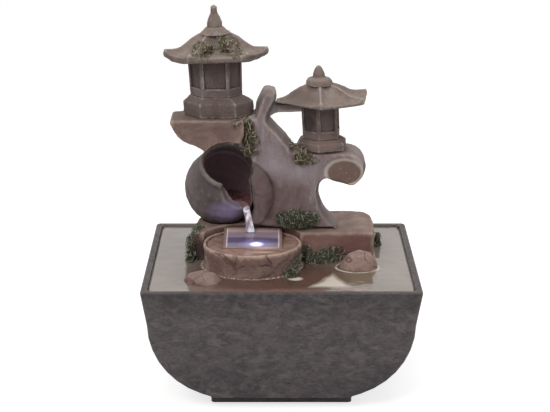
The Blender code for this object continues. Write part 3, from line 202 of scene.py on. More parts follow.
def painted_stone_group():
    """Cast stone as it is painted: blotches, grain, dark hollows and dry-brushed edges."""
    t, g, out = node_group(
        "Painted stone",
        {"Place": VECTOR, "Edge": 0.0, "Hollow": 0.0, "Up": 0.0, "Recess": 0.0, "Base": COLOUR,
         "Blotch": COLOUR, "Light": COLOUR, "Dark": COLOUR, "Top": COLOUR, "Top share": 0.5,
         "Blotch scale": 70.0, "Grain scale": 900.0, "Brush share": 0.8, "Seed": VECTOR},
        {"Color": COLOUR, "Roughness": VALUE, "Height": VALUE})
    place = t.vector("ADD", g["Place"], g["Seed"])[0]
    blotch = t.clouds(place, g["Blotch scale"], 5.0, 0.62, 0.4)
    grain = t.clouds(place, g["Grain scale"], 3.0, 0.7)
    broken = t.clouds(place, t.times(g["Grain scale"], 0.32), 4.0, 0.65)
    wide = t.clouds(place, t.times(g["Blotch scale"], 0.4), 3.0, 0.6, 0.8)
    t.colour = t.blend(t.spread(blotch, 0.40, 0.62), g["Base"], g["Blotch"])
    t.coats((wide, 0.52, 0.70, 0.35, g["Light"]), (wide, 0.48, 0.30, 0.45, g["Dark"]))
    top = t.times(g["Up"], g["Top share"])
    t.lay(t.times(top, t.spread(broken, 0.25, 0.6, 0.55, 1.0)), g["Top"])
    # painted shade in recesses
    t.lay(t.times(g["Recess"], 0.45, clamp=True), g["Dark"])
    t.lay(t.times(g["Hollow"], 0.9, clamp=True), g["Dark"])
    t.coats((grain, 0.52, 0.78, 0.30, g["Light"]), (grain, 0.46, 0.26, 0.30, g["Dark"]))
    brushed = t.times(t.times(g["Edge"], g["Brush share"]), t.spread(broken, 0.30, 0.55, 0.45, 1.0),
                      clamp=True)
    t.lay(brushed, g["Light"])
    t.link(t.colour, out["Color"])
    t.link(t.spread(grain, 0.2, 0.8, 0.62, 0.84), out["Roughness"])
    height = t.plus(t.times(blotch, 0.55), t.times(grain, 0.30))
    t.link(t.plus(height, t.times(broken, 0.35)), out["Height"])
    return t.tree


def cracks_group():
    """Thin dark cracks between irregular plates, as a mask and a height."""
    t, g, out = node_group("Cracks", {"Place": VECTOR, "Scale": 60.0, "Width": 0.05},
                             {"Mask": VALUE, "Height": VALUE})
    wander = t.add("ShaderNodeTexNoise", {"Vector": g["Place"], "Scale": 110.0, "Detail": 4.0}).outputs[1]
    moved = t.scaled(t.vector("SUBTRACT", wander, (0.5, 0.5, 0.5))[0], 0.012)
    plates = t.add("ShaderNodeTexVoronoi", {"Vector": t.vector("ADD", g["Place"], moved)[0],
                                            "Scale": g["Scale"]}, feature="DISTANCE_TO_EDGE").outputs[0]
    fade = t.spread(t.clouds(g["Place"], 70.0, 2.0), 0.42, 0.60)
    mask = t.times(t.minus(1.0, t.math("DIVIDE", plates, g["Width"]), clamp=True), fade)
    t.link(mask, out["Mask"])
    t.link(t.times(mask, -1.0), out["Height"])
    return t.tree


def zone_group():
    """A mask that is one inside an ellipsoid and falls to nothing at its surface."""
    t, g, out = node_group("Zone", {"Place": VECTOR, "Centre": VECTOR, "Radius": VECTOR, "Soft": 0.35},
                             {"Mask": VALUE})
    offset = t.vector("DIVIDE", t.vector("SUBTRACT", g["Place"], g["Centre"])[0], g["Radius"])[0]
    t.link(t.spread(t.vector("LENGTH", offset)["Value"], 1.0, t.minus(1.0, g["Soft"])), out["Mask"])
    return t.tree


def grain_group():
    """Fine grain, and a wide haze for the colour."""
    t, g, out = node_group("Fine grain", {"Place": VECTOR, "Scale": 400.0}, {"Grain": VALUE, "Haze": VALUE})
    t.link(t.clouds(g["Place"], g["Scale"], 4.0, 0.6), out["Grain"])
    t.link(t.clouds(g["Place"], t.times(g["Scale"], 0.12), 3.0, 0.5), out["Haze"])
    return t.tree


def ripples_group():
    """Ripples of moving water, drawn out by the stretch."""
    t, g, out = node_group("Ripples", {"Place": VECTOR, "Stretch": VECTOR, "Scale": 75.0, "Twist": 0.6},
                             {"Ripple": VALUE})
    place = t.vector("MULTIPLY", g["Place"], g["Stretch"])[0]
    t.link(t.clouds(place, g["Scale"], 3.0, 0.5, g["Twist"]), out["Ripple"])
    return t.tree


STONE_GROUP = painted_stone_group()
CRACKS_GROUP = cracks_group()
ZONE_GROUP = zone_group()
GRAIN_GROUP = grain_group()
RIPPLES_GROUP = ripples_group()


class Finish(Tree):
    """A material's tree, with the place on the object and its Principled surface."""

    def __init__(self, name):
        self.material = bpy.data.materials.new(name)
        self.material.use_nodes = True
        super().__init__(self.material.node_tree)
        self.tree.nodes.clear()
        self.place = self.add("ShaderNodeTexCoord").outputs["Object"]
        self.shader = self.add("ShaderNodeBsdfPrincipled")
        self.link(self.shader.outputs[0], self.add("ShaderNodeOutputMaterial").inputs[0])

    def zone(self, centre, radius, soft=0.35):
        """The zone group's mask round one centre."""
        return self.group(ZONE_GROUP, Place=self.place, Centre=centre, Radius=radius, Soft=soft)[0]

    def tints(self, rows):
        """Lays zones of paint over the colour; a row is share, paint, centre, radius and softness."""
        for share, new, centre, radius, soft in rows:
            self.lay(self.zone(centre, radius, soft), new, share)

    def grain(self, scale):
        """Grain and haze of the fine grain group."""
        return self.group(GRAIN_GROUP, Place=self.place, Scale=scale)

    def ripples(self, stretch, scale, twist=0.6):
        return self.group(RIPPLES_GROUP, Place=self.place, Stretch=stretch, Scale=scale, Twist=twist)[0]

    def surface(self, rough, height=None, relief=0.0, strength=1.0, **values):
        """The finished material: its colour, roughness, relief and other values."""
        if height:
            values["Normal"] = self.add("ShaderNodeBump", {"Strength": strength, "Distance": relief,
                                                           "Height": height}).outputs[0]
        self.fill(self.shader, {"Base Color": self.colour, "Roughness": rough, **values})
        return self.material


def stone(name, base, blotch, light, dark, top=None, top_share=0.5, seed=0.0, blotch_scale=70.0,
          grain_scale=900.0, brush=0.8, relief=0.0004, tint=None, cracks=None, gloss=0.3):
    """Painted stone; tint(t) may recolour zones and cracks is (scale, width, colour)."""
    t = Finish(name)
    stored = t.add("ShaderNodeAttribute", attribute_name="masks").outputs
    edge, hollow, up = t.add("ShaderNodeSeparateColor", {0: stored["Color"]}).outputs
    made = t.group(STONE_GROUP, Place=t.place, Edge=edge, Hollow=hollow, Up=up, Recess=stored["Alpha"],
                   Base=paint(*base), Blotch=paint(*blotch), Light=paint(*light), Dark=paint(*dark),
                   Top=paint(*(top or base)), Top_share=top_share if top else 0.0, Blotch_scale=blotch_scale,
                   Grain_scale=grain_scale, Brush_share=brush, Seed=(seed, 2.3 * seed, -1.7 * seed))
    t.colour, height = made["Color"], made["Height"]
    if tint:
        tint(t)
    if cracks:
        lines = t.group(CRACKS_GROUP, Place=t.place, Scale=cracks[0], Width=cracks[1])
        t.lay(lines["Mask"], cracks[2], 0.8)
        height = t.plus(height, lines["Height"])
    return t.surface(made["Roughness"], height, relief, Specular_IOR_Level=gloss)


# Tints of the single pieces
END_X, END_Z = LOG_END
TRUNK_TINTS = [
    # share, paint, centre, radius, softness: pale bark beside the vine and on the front
    (0.55, (158, 146, 151), (-0.0205, 0.003, 0.1930), (0.008, 0.012, 0.020), 0.9),
    (0.55, (158, 146, 151), (-0.0080, 0.003, 0.1650), (0.016, 0.012, 0.022), 0.9),
    (0.55, (158, 146, 151), (0.0140, 0.003, 0.1580), (0.022, 0.012, 0.014), 0.9),
    # reddish foot, brown top of the arm
    (0.85, (90, 69, 65), (-0.010, 0.003, 0.128), (0.030, 0.03, 0.036), 0.7),
    (0.65, (92, 74, 70), (0.020, 0.003, 0.112), (0.045, 0.03, 0.026), 0.8),
    (0.60, (94, 76, 73), (0.004, 0.003, 0.140), (0.018, 0.03, 0.016), 0.8),
    (0.70, (134, 113, 101), (0.038, 0.006, 0.177), (0.022, 0.03, 0.010), 0.7),
    # trunk's tip, then painted shade as a dark line along the jar's round side, and the jar's own colour
    # inside it
    (0.75, (104, 94, 88), (-0.0092, 0.003, 0.2190), (0.008, 0.02, 0.010), 0.6),
    (0.75, (58, 45, 43), (-0.0352, 0.0, 0.1392), (0.0316, 0.04, 0.0316), 0.06),
    (0.60, (116, 98, 95), (-0.0352, 0.0, 0.1392), (0.0298, 0.04, 0.0298), 0.06),
    # dark left edge of the tip, and the pale ring of bark round the sawn end
    (0.70, (84, 77, 71), (-0.0182, 0.003, 0.2140), (0.0048, 0.02, 0.0100), 0.5),
    (0.80, (190, 178, 168), (END_X, 0.002, END_Z), (LOG_HALF[0] * 1.2, 0.0085, LOG_HALF[1] * 1.2), 0.12)]


def trunk_tint(t):
    """Streaked bark, its tints, the sawn end with light specks, dark sides and the branch."""
    grain = t.clouds(t.stretched(t.place, (1.0, 0.4, 0.22), -24), 150.0, 5.0, 0.6, 0.6)
    t.coats((grain, 0.52, 0.68, 0.5, (158, 146, 150)), (grain, 0.46, 0.34, 0.5, (96, 76, 74)))
    t.tints(TRUNK_TINTS)
    sawn = t.blend(t.clouds(t.place, 160.0, 4.0), (100, 80, 72), (116, 96, 87))
    sawn = t.blend(t.spread(t.clouds(t.place, 520.0, 2.0), 0.66, 0.72), sawn, (200, 186, 170))
    t.lay(t.zone((END_X, 0.002, END_Z), (LOG_HALF[0], 0.0085, LOG_HALF[1]), 0.12), sawn)
    way = t.axes(t.add("ShaderNodeNewGeometry").outputs["Normal"])
    side = t.times(t.spread(t.size(way[1]), 0.80, 0.55), t.spread(way[2], 0.45, 0.10))
    streaks = t.clouds(t.stretched(t.place, (1.0, 0.6, 0.5)), 330.0, 4.0, 0.6)
    t.lay(side, t.blend(t.spread(streaks, 0.42, 0.62), (70, 60, 55), (120, 112, 102)), 0.75)
    t.lay(t.zone((0.006, 0.016, 0.2110), (0.016, 0.014, 0.0085), 0.25), (92, 82, 75), 0.75)


def jar_tint(t):
    """Painted light of the lamp on the belly above the window; a lighter inside with painted shade towards
    the bottom.
    """
    length = t.vector("LENGTH", t.vector("SUBTRACT", t.place, tuple(JAR_CENTRE))[0])["Value"]
    t.lay(t.zone(GLOW_SPOT, (0.021, 0.018, 0.013), 0.9), (142, 130, 168), 0.85)
    # painted light and shade inside the mouth: lighter than the outside, darker towards the bottom
    t.lay(t.spread(length, JAR_INNER_R + 0.0018, JAR_INNER_R + 0.0004),
          t.blend(t.spread(t.axes(t.place)[2], 0.126, 0.146), (116, 88, 92), (140, 112, 122)))


def rock_tint(t):
    """Darker, redder fronts than the worn top, and painted shade on the left end under the jar."""
    t.lay(t.spread(t.clouds(t.place, 90.0, 3.0), 0.35, 0.6), (106, 73, 68), 0.5)
    t.tints([(0.5, (114, 78, 74), (0.050, -0.006, 0.100), (0.034, 0.004, 0.016), 0.5),
             # painted shade on the rock's left end, under the jar
             (0.85, (62, 49, 47), (-0.0655, -0.004, 0.0980), (0.0110, 0.020, 0.0120), 0.4)])


def basin_tint(t):
    """Wet reddish dish and a lighter brow."""
    t.lay(t.zone((-0.0187, -0.008, 0.1065), (0.0355, 0.030, 0.0042), 0.25), (150, 108, 96), 0.85)
    t.lay(t.spread(t.axes(t.place)[2], 0.1010, 0.1060), (150, 120, 108), 0.45)


def lantern_tint(t):
    """Small lantern: painted shade in the left opening, redder front and plinth; tall lantern: light right
    side.
    """
    # painted shade in the small lantern's left opening
    t.tints([(0.75, (44, 35, 34), (0.0200, 0.0045, 0.1945), (0.0058, 0.010, 0.0085), 0.3),
             (0.45, (104, 90, 88), (0.0350, -0.001, 0.1960), (0.0080, 0.010, 0.0130), 0.5),
             (0.60, (134, 110, 103), (0.0340, -0.004, 0.1800), (0.0180, 0.016, 0.0070), 0.5),
             (0.55, (104, 88, 84), (-0.0330, 0.004, 0.2290), (0.0050, 0.014, 0.0130), 0.5)])


def roof_tint(t):
    """Grey weathering in soft spots, and painted shade on the small roof's left slope."""
    t.coats((t.clouds(t.place, 130.0, 4.0, 0.6), 0.50, 0.68, 0.55, (128, 124, 118)))
    # painted shade on the small roof's left slope
    t.tints([(0.75, (96, 82, 76), (0.0120, 0.004, 0.2160), (0.0170, 0.020, 0.0110), 0.6)])


def eye_line(centre, half, width):
    """A tint that draws one thin dark curved line on a stone."""
    def tint(t):
        inner = t.zone(centre, tuple(h * (1 - 1.5 * width) for h in half), width)
        t.lay(t.minus(t.zone(centre, half, width), inner, clamp=True), (88, 60, 56), 0.75)

    return tint


ROOF = stone("roof stone", (122, 105, 98), (104, 89, 82), (154, 144, 135), (62, 50, 48),
             (128, 112, 104), 0.4, seed=0.1, blotch_scale=85.0, brush=1.0, relief=0.0009, tint=roof_tint)
LANTERN = stone("lantern stone", (100, 85, 81), (86, 71, 68), (148, 138, 132), (48, 38, 38),
                (110, 94, 88), 0.4, seed=0.2, brush=1.0, relief=0.0008, tint=lantern_tint)
TRUNK = stone("trunk bark", (132, 117, 119), (118, 102, 103), (172, 160, 154), (62, 48, 47),
              (156, 144, 134), 0.7, seed=0.3, blotch_scale=60.0, grain_scale=700.0, tint=trunk_tint,
              relief=0.0008)
LEDGE = stone("ledge stone", (116, 95, 88), (102, 80, 74), (152, 132, 120), (58, 43, 41),
              (114, 99, 92), 0.7, seed=0.4, brush=0.9, relief=0.0007)
ROCK = stone("base rock", (128, 96, 88), (110, 80, 74), (166, 150, 136), (58, 42, 40),
             (144, 128, 118), 0.95, seed=0.5, tint=rock_tint, brush=0.9, relief=0.0008)
JAR = stone("dark jar", (84, 73, 73), (74, 62, 63), (128, 116, 111), (50, 39, 40),
            seed=0.6, blotch_scale=75.0, grain_scale=1100.0, tint=jar_tint, brush=0.85, relief=0.0003,
            gloss=0.5)
BASIN = stone("cracked basin", (108, 84, 79), (124, 99, 92), (190, 170, 156), (62, 44, 41),
              (136, 112, 102), 0.5, seed=0.7, tint=basin_tint, brush=1.0, relief=0.0008,
              cracks=(42.0, 0.06, (90, 66, 61)))
PEBBLE_LEFT = stone("left pebble", (138, 118, 110), (120, 100, 93), (172, 154, 144), (82, 60, 57),
                    seed=0.8, relief=0.0008, cracks=(80.0, 0.03, (84, 62, 58)),
                    tint=eye_line((-0.066, -0.050, 0.0905), (0.0058, 0.0120, 0.0042), 0.22))
PEBBLE_RIGHT = stone("right pebble", (145, 120, 112), (128, 103, 96), (182, 162, 151), (82, 60, 57),
                     seed=0.9, relief=0.0008, cracks=(75.0, 0.03, (84, 62, 58)),
                     tint=eye_line((0.050, -0.028, 0.0975), (0.0042, 0.0100, 0.0026), 0.28))


def bowl_material():
    """Dark cast resin, hammered like slate: slanted creases, small chips, pale specks, an inside made pale by
    painted light and a foot darkened by painted shade.
    """
    t = Finish("bowl resin")
    creased = t.stretched(t.place, (1.0, 1.0, 1.6), 34)
    creases = t.clouds(creased, 60.0, 8.0, 0.66, 0.3)
    chips = t.clouds(t.stretched(t.place, (1.0, 1.0, 1.3), 40), 330.0, 5.0, 0.70)
    ridges = t.size(t.minus(creases, 0.5))
    pores = t.clouds(t.place, 1100.0, 3.0, 0.65)
    hammered = t.clouds(creased, 120.0, 8.0, 0.74)
    x, y, height = t.axes(t.place)
    t.colour = t.blend(t.spread(t.clouds(t.place, 24.0, 4.0, 0.6), 0.38, 0.62), (78, 71, 73), (92, 83, 85))
    t.lay(t.times(t.spread(height, 0.086, 0.068), t.spread(height, 0.022, 0.042)), (112, 104, 104), 0.75)
    t.coats((ridges, 0.04, 0.0, 0.28, (56, 50, 51)), (chips, 0.54, 0.72, 0.55, (122, 113, 112)),
            (chips, 0.46, 0.30, 0.40, (58, 53, 54)), (pores, 0.62, 0.74, 0.40, (134, 126, 124)),
            (hammered, 0.50, 0.60, 0.50, (122, 113, 113)), (hammered, 0.50, 0.40, 0.50, (52, 47, 49)))
    t.lay(t.spread(height, 0.0904, 0.0914), (102, 94, 91), 0.6)
    # painted light: the inside wall above the water is painted pale against its shade
    inside = t.times(t.spread(t.size(x), 0.0974, 0.0968), t.spread(t.size(y), 0.0742, 0.0738))
    t.lay(t.times(inside, t.spread(height, 0.0820, 0.0835)), (168, 158, 149), 0.8)
    # painted shade: the foot is darker
    t.lay(t.spread(height, 0.0102, 0.0085), (78, 71, 72), 0.9)
    relief = t.plus(t.spread(ridges, 0.0, 0.08, 0.0, 0.25), t.times(chips, 0.35))
    relief = t.plus(t.plus(relief, hammered), t.times(pores, 0.08))
    return t.surface(t.spread(pores, 0.3, 0.7, 0.40, 0.56), relief, 0.0062, 0.9, Specular_IOR_Level=0.4)


def plain_material(name, colour, second, rough, scale=400.0, relief=0.00006, gloss=0.5):
    """Moulded or machined finish: fine grain in colour, roughness and relief."""
    t = Finish(name)
    grain, haze = t.grain(scale)
    t.colour = t.blend(t.spread(haze, 0.35, 0.65), colour, second)
    return t.surface(t.spread(grain, 0.3, 0.7, rough - 0.07, rough + 0.09), grain, relief,
                     Specular_IOR_Level=gloss)


def inside_sides(t, place, sides, soft):
    """One inside flat sides, each given by its outward direction in X and Y and how far out it lies."""
    least = None
    for x, y, reach in sides:
        left = t.minus(reach, t.vector("DOT_PRODUCT", place, (x, y, 0.0))["Value"])
        least = left if least is None else t.math("MINIMUM", least, left)
    return t.spread(least, 0.0, soft)


# Sides of the pale patch of painted reflection on the pool: outward direction in X and Y, and distance
PALE_REFLECTION_SIDES = [(-0.834, 0.552, -0.0498), (0.913, 0.407, 0.0222), (0.0, -1.0, 0.0640)]


def pool_ring(t, outer, inner, soft):
    """A ring on the pool between two ovals, each given by its middle and half widths in X and Y."""
    out, inside = (t.zone((x, y, WATER_Z), (half_x, half_y, 0.02), soft) for x, y, half_x, half_y in
                   (outer, inner))
    return t.minus(out, inside, clamp=True)


def pool_material():
    """Still water over a dark floor: it mirrors the stones and the white room.

    Painted reflections of the sculpture and the right stone, a pale painted reflection of the white room,
    painted highlights in a bright ring round the right stone and at the basin's front right, and a little
    foam round the basin lie on it.
    """
    t = Finish("pool water")
    drift = t.clouds(t.place, 40.0, 4.0, 0.5)
    t.colour = t.blend(t.spread(drift, 0.35, 0.65), (120, 109, 99), (134, 123, 113))
    # painted reflection of the sculpture, dark in the middle of the pool
    t.tints([(0.9, (82, 58, 50), (-0.010, -0.040, WATER_Z), (0.078, 0.048, 0.02), 0.45),
             # painted reflection of the right stone below its ring
             (0.8, (104, 92, 74), (0.0560, -0.0400, WATER_Z), (0.0165, 0.0240, 0.02), 0.35)])
    # painted reflection of the sculpture's reddish foot along the front
    front = t.times(t.spread(t.axes(t.place)[1], -0.0640, -0.0690),
                    t.zone((0.012, -0.070, WATER_Z), (0.088, 0.05, 0.02), 0.2))
    t.lay(t.times(front, t.spread(drift, 0.40, 0.60, 0.15, 0.65)), (138, 98, 80))
    # painted reflection of the white room in a pale patch
    wander = t.times(t.minus(t.clouds(t.place, 150.0, 3.0), 0.5), 0.9)
    moved = t.add("ShaderNodeCombineXYZ", {0: t.times(wander, 0.006)}).outputs[0]
    pale = inside_sides(t, t.vector("ADD", t.place, moved)[0], PALE_REFLECTION_SIDES, 0.0050)
    # painted highlight in a ring at the right stone's waterline
    ring = t.times(pool_ring(t, (0.0575, -0.0212, 0.0174, 0.0128), (0.0577, -0.0205, 0.0162, 0.0118), 0.05),
                   t.spread(t.clouds(t.place, 120.0, 2.0), 0.35, 0.5, 0.45, 1.0))
    # foam round the basin's foot, and a painted highlight at the waterline at the basin's front right
    foot = pool_ring(t, (-0.0221, -0.0145, 0.0396, 0.0344), (-0.0221, -0.0145, 0.0374, 0.0318), 0.03)
    specks = t.spread(t.clouds(t.place, 700.0, 3.0), 0.46, 0.56)
    foam_and_waterline_highlight = t.most(t.zone((0.0104, -0.0452, WATER_Z), (0.0064, 0.0046, 0.02), 0.4), t.times(foot, specks))
    white = t.most(t.most(t.times(pale, 0.95), ring), foam_and_waterline_highlight)
    t.lay(white, (208, 198, 184), 0.9)
    return t.surface(t.spread(white, 0.0, 1.0, 0.05, 0.4), t.ripples((1.0, 1.6, 1.0), 95.0), 0.00055, 0.5,
                     IOR=1.75, Alpha=0.96)


def clear_water_material(name, deep, bright, scale, relief, clear=0.5, glow=0.0, spots=()):
    """Moving water: drawn-out ripples between a deep and a bright colour, spots of other colours, and a glow
    of painted light when glow is given.
    """
    t = Finish(name)
    ripple = t.ripples(scale, 75.0, 1.2)
    t.colour = t.blend(t.spread(ripple, 0.40, 0.62), deep, bright)
    t.tints(spots)
    shine = {"Emission_Color": t.colour, "Emission_Strength": glow} if glow else {}
    return t.surface(t.spread(ripple, 0.3, 0.7, 0.04, 0.14), ripple, relief, IOR=1.45,
                     Transmission_Weight=clear, **shine)


def window_material():
    """Frosted window under running water: pink and purple bands, bright sides and the lamp's hot spot."""
    t = Finish("lit window")
    x, y, _ = t.axes(t.place)
    drawn = t.ripples((0.25, 1.0, 1.0), 170.0)
    depth = t.plus(y, t.times(t.minus(drawn, 0.5), 0.008))
    t.colour = t.blend(t.spread(depth, -0.0185, -0.0150), (142, 130, 150), (96, 86, 114))
    t.coats((depth, -0.0095, -0.0060, 1.0, (146, 128, 142)), (depth, 0.0, 0.0040, 1.0, (188, 164, 160)))
    t.lay(t.spread(t.size(t.minus(x, WINDOW_X)), 0.0188, 0.0196), (240, 234, 240), 0.65)
    core = t.zone(LED_SPOT, (0.0064, 0.0052, 0.02), 0.7)
    halo = t.zone(LED_SPOT, (0.0150, 0.0100, 0.02), 1.0)
    shine = t.scaled(t.blend(core, (150, 150, 235), (255, 255, 255)),
                     t.plus(t.times(core, 1.2), t.times(halo, 0.50)))
    return t.surface(0.16, drawn, 0.0004, 0.6, Emission_Color=shine, Emission_Strength=1.0)


def frame_material():
    """Pinkish-brown window frame with painted highlights on its inner edges and painted light of the lamp in
    front.
    """
    t = Finish("window frame")
    x, _, z = t.axes(t.place)
    grain, haze = t.grain(800.0)
    t.colour = t.blend(haze, (122, 94, 87), (148, 120, 110))
    # painted highlights along the frame's inner edges
    t.lay(t.times(t.spread(t.size(t.minus(x, WINDOW_X)), 0.0212, 0.0204), t.spread(z, 0.1070, 0.1078)),
          (214, 198, 194), 0.25)
    # painted light of the lamp on the frame's front
    t.tints([(0.8, (226, 200, 188), (-0.0130, -0.0262, 0.1068), (0.0160, 0.0040, 0.0022), 0.8)])
    return t.surface(t.spread(grain, 0.3, 0.7, 0.30, 0.45), grain, 0.0001)


def moss_material(name, low, high, bright):
    """Dry curled moss whose strands differ in tone."""
    t = Finish(name)
    tone = t.add("ShaderNodeAttribute", attribute_name="tone").outputs["Fac"]
    flecks = t.grain(900.0)[0]
    t.colour = t.blend(tone, low, high)
    t.coats((tone, 0.72, 0.95, 1.0, bright), (flecks, 0.5, 0.7, 0.35, low))
    return t.surface(0.85, flecks, 0.00015, Specular_IOR_Level=0.2)


MOSS_DRY = moss_material("dry moss", (84, 76, 60), (116, 108, 88), (172, 164, 142))
MOSS_GREEN = moss_material("green moss", (62, 62, 52), (94, 96, 80), (144, 148, 128))
MOSS_BED = plain_material("moss bed", (66, 58, 50), (80, 72, 60), 0.85, 700.0, 0.0004, gloss=0.1)


# Shapes
DRESSED = {}


def plain_object(name, data):
    """An object at the origin; a mesh has its place in its points."""
    made = bpy.data.objects.new(name, data)
    SCENE.collection.objects.link(made)
    return made


def mesh_of(bm, name):
    """A new mesh with what the edit mesh holds; the edit mesh is freed."""
    mesh = bpy.data.meshes.new(name)
    bm.to_mesh(mesh)
    bm.free()
    return mesh


def node_copy(node, name):
    """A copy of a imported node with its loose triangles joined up."""
    bm = bmesh.new()
    bm.from_mesh(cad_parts[node].data)
    bmesh.ops.remove_doubles(bm, verts=bm.verts, dist=2e-6)
    return plain_object(name, mesh_of(bm, name))


def settled(made):
    """The object with its modifiers worked into a plain mesh."""
    graph = bpy.context.evaluated_depsgraph_get()
    mesh = bpy.data.meshes.new_from_object(made.evaluated_get(graph), depsgraph=graph)
    old = made.data
    made.modifiers.clear()
    made.data = mesh
    bpy.data.meshes.remove(old)
    return made


def vertex_values(mesh, key="co"):
    """Places ("co") or normals ("normal") of a mesh, one row for each vertex."""
    values = np.empty(len(mesh.vertices) * 3)
    mesh.vertices.foreach_get(key, values)
    return values.reshape(-1, 3)


def put_places(mesh, places):
    mesh.vertices.foreach_set("co", places.ravel())
    mesh.update()


def smooth_faces(mesh):
    for face in mesh.polygons:
        face.use_smooth = True


def neighbour_mean(mesh):
    """A function that averages values over each vertex's neighbours."""
    pairs = np.empty(len(mesh.edges) * 2, dtype=np.int64)
    mesh.edges.foreach_get("vertices", pairs)
    a, b = pairs.reshape(-1, 2).T
    count = len(mesh.vertices)
    share = np.maximum(np.bincount(a, minlength=count) + np.bincount(b, minlength=count), 1)

    def mean(values):
        flat = values.reshape(count, -1)
        out = np.empty_like(flat)
        for k in range(flat.shape[1]):
            out[:, k] = (np.bincount(a, flat[b, k], count) + np.bincount(b, flat[a, k], count)) / share
        return out.reshape(values.shape)

    return mean


def rough(places, scale, octaves, seed):
    """Fractal unevenness of about -1 to 1 at each place."""
    shift = Vector((seed, 1.7 * seed, -2.1 * seed))
    return np.array([noise.fractal(Vector(p) * scale + shift, 0.8, 2.0, octaves) for p in places])


def ramp(values, start, length):
    """Nothing at the start, one from the start plus the length on; a length below zero falls."""
    return np.clip((values - start) / length, 0, 1)


def over(values, low_percent, high_percent, least):
    """Values as a mask from a low to a high percentile, with a least value below which it stays empty."""
    low, high = (max(np.percentile(values, p), least) for p in (low_percent, high_percent))
    return ramp(values, low, max(high - low, least))


def below_hull(mesh, places):
    """A mask of what lies deeper than the piece's convex hull, such as a panel inside its posts."""
    bm = bmesh.new()
    bm.from_mesh(mesh)
    hull = bmesh.ops.convex_hull(bm, input=bm.verts)
    inner = [v for v in hull["geom_interior"] if isinstance(v, bmesh.types.BMVert)]
    bmesh.ops.delete(bm, geom=inner, context="VERTS")
    tree = BVHTree.FromBMesh(bm)
    bm.free()
    depth = np.array([tree.find_nearest(Vector(p))[3] for p in places])
    return ramp(depth, *RECESS_DEPTH)


def weathered(node, material, grain, soften=3, uneven=0.0002, scale=160.0, seed=1.0, relief=None,
              recessed=False):
    """A node remade with even faces, worn edges, an uneven skin and masks for its paint and for painted
    shade.
    """
    made = node_copy(node, "dressed_" + node)
    remesh = made.modifiers.new("even faces", "REMESH")
    remesh.mode = "VOXEL"
    remesh.voxel_size = grain
    settled(made)
    mesh = made.data
    mean = neighbour_mean(mesh)
    places = vertex_values(mesh)
    for _ in range(soften):
        places = places + SOFTEN_SHARE * (mean(places) - places)
    put_places(mesh, places)
    ways = vertex_values(mesh, "normal")
    places = places + ways * (uneven * rough(places, scale, 4, seed))[:, None]
    if relief:
        places = relief(places, ways)
    put_places(mesh, places)
    ways = vertex_values(mesh, "normal")
    wide = places
    for _ in range(WIDE_PASSES):
        wide = mean(wide)
    bend = mean(mean(((places - wide) * ways).sum(axis=1) / grain))
    edge = over(bend, *EDGE_BEND)
    hollow = over(-bend, *HOLLOW_BEND)
    up = np.clip(mean(ways)[:, 2] * 1.3 - 0.35, 0, 1)
    # painted shade in recesses, such as panels inside posts
    deep = below_hull(mesh, places) if recessed else np.zeros(len(up))
    masks = mesh.color_attributes.new("masks", "FLOAT_COLOR", "POINT")
    masks.data.foreach_set("color", np.stack([edge, hollow, up, deep], axis=1).ravel())
    smooth_faces(mesh)
    mesh.materials.clear()
    mesh.materials.append(material)
    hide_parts(node)
    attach(made, "sculpture")
    DRESSED[node] = made
    return made


def groove_depth(places, line, half_width):
    """How near each place is, in X and Z, to a bent line: one on the line, nothing past its half width."""
    flat = places[:, [0, 2]]
    nearest = np.full(len(flat), 1e9)
    for a, b in zip(np.array(line), np.array(line[1:])):
        along = b - a
        share = np.clip(((flat - a) @ along) / (along @ along), 0, 1)
        nearest = np.minimum(nearest, np.linalg.norm(flat - (a + share[:, None] * along), axis=1))
    return np.clip(1 - nearest / half_width, 0, 1) ** 1.5


# Relief of the single pieces
# X and Z of points along the folds in the trunk's front
TRUNK_CREVICE = [(-0.0085, 0.1581), (-0.0050, 0.1502), (-0.0028, 0.1430), (-0.0034, 0.1350),
                 (-0.0058, 0.1270), (-0.0080, 0.1197)]
TRUNK_RIDGES = [[(-0.0110, 0.1400), (-0.0115, 0.1300), (-0.0140, 0.1190)],
                [(-0.0175, 0.1260), (-0.0175, 0.1200), (-0.0190, 0.1150)]]

MOUTH_MIDDLE = np.array([-0.0400, 0.0184, 0.1597])      # of the jar's lip
MOUTH_HALF = (0.0236, 0.0182)                           # across, and upwards as the camera sees it
SIGHT_RISE = math.radians(16.5)                         # the camera looks down on the lip this much


def close_to_jar(places):
    """Casting drawn in to the jar's lip, along the line of sight, and to its round side."""
    above = np.array([0.0, math.sin(SIGHT_RISE), math.cos(SIGHT_RISE)])
    offset = places - MOUTH_MIDDLE
    across, rise = offset[:, 0] / MOUTH_HALF[0], offset @ above / MOUTH_HALF[1]
    reach = np.hypot(across, rise)
    # A band round the lip
    near = ramp(reach, 0.93, 0.05) * ramp(reach, 1.28, -0.13) * ramp(rise, -0.35, 0.4)
    pull = -((0.128 + 0.030 * np.clip(across + 0.3, 0, 1)) * near)[:, None]
    out = places + pull * (np.outer(offset[:, 0], (1, 0, 0)) + np.outer(offset @ above, above))
    # A band round the belly, right of its middle
    side = np.stack([out[:, 0] - JAR_CENTRE.x, out[:, 2] - JAR_CENTRE.z], axis=1)
    length = np.linalg.norm(side, axis=1)
    touch = ramp(length, 0.0240, 0.0030) * ramp(length, 0.0480, -0.0150)
    touch *= ramp(out[:, 0] - JAR_CENTRE.x, 0.008, 0.004)
    beside = ramp(out[:, 2], 0.163, -0.012) * ramp(out[:, 2], 0.122, 0.010)
    draw_in = 0.0034 + 0.0045 * beside
    out[:, [0, 2]] -= side / length[:, None] * (draw_in * touch)[:, None]
    return out


def ledge_relief(places, ways):
    """A chipped front edge and underside."""
    chips = np.clip(rough(places, 330.0, 3, 21.0), 0, 1) * np.clip(-ways[:, 1] - ways[:, 2] * 0.5, 0, 1)
    out = places - ways * (0.0005 * chips)[:, None]
    out[:, 0] += 0.0048 * ramp(out[:, 0], -0.040, 0.008)
    return close_to_jar(out)


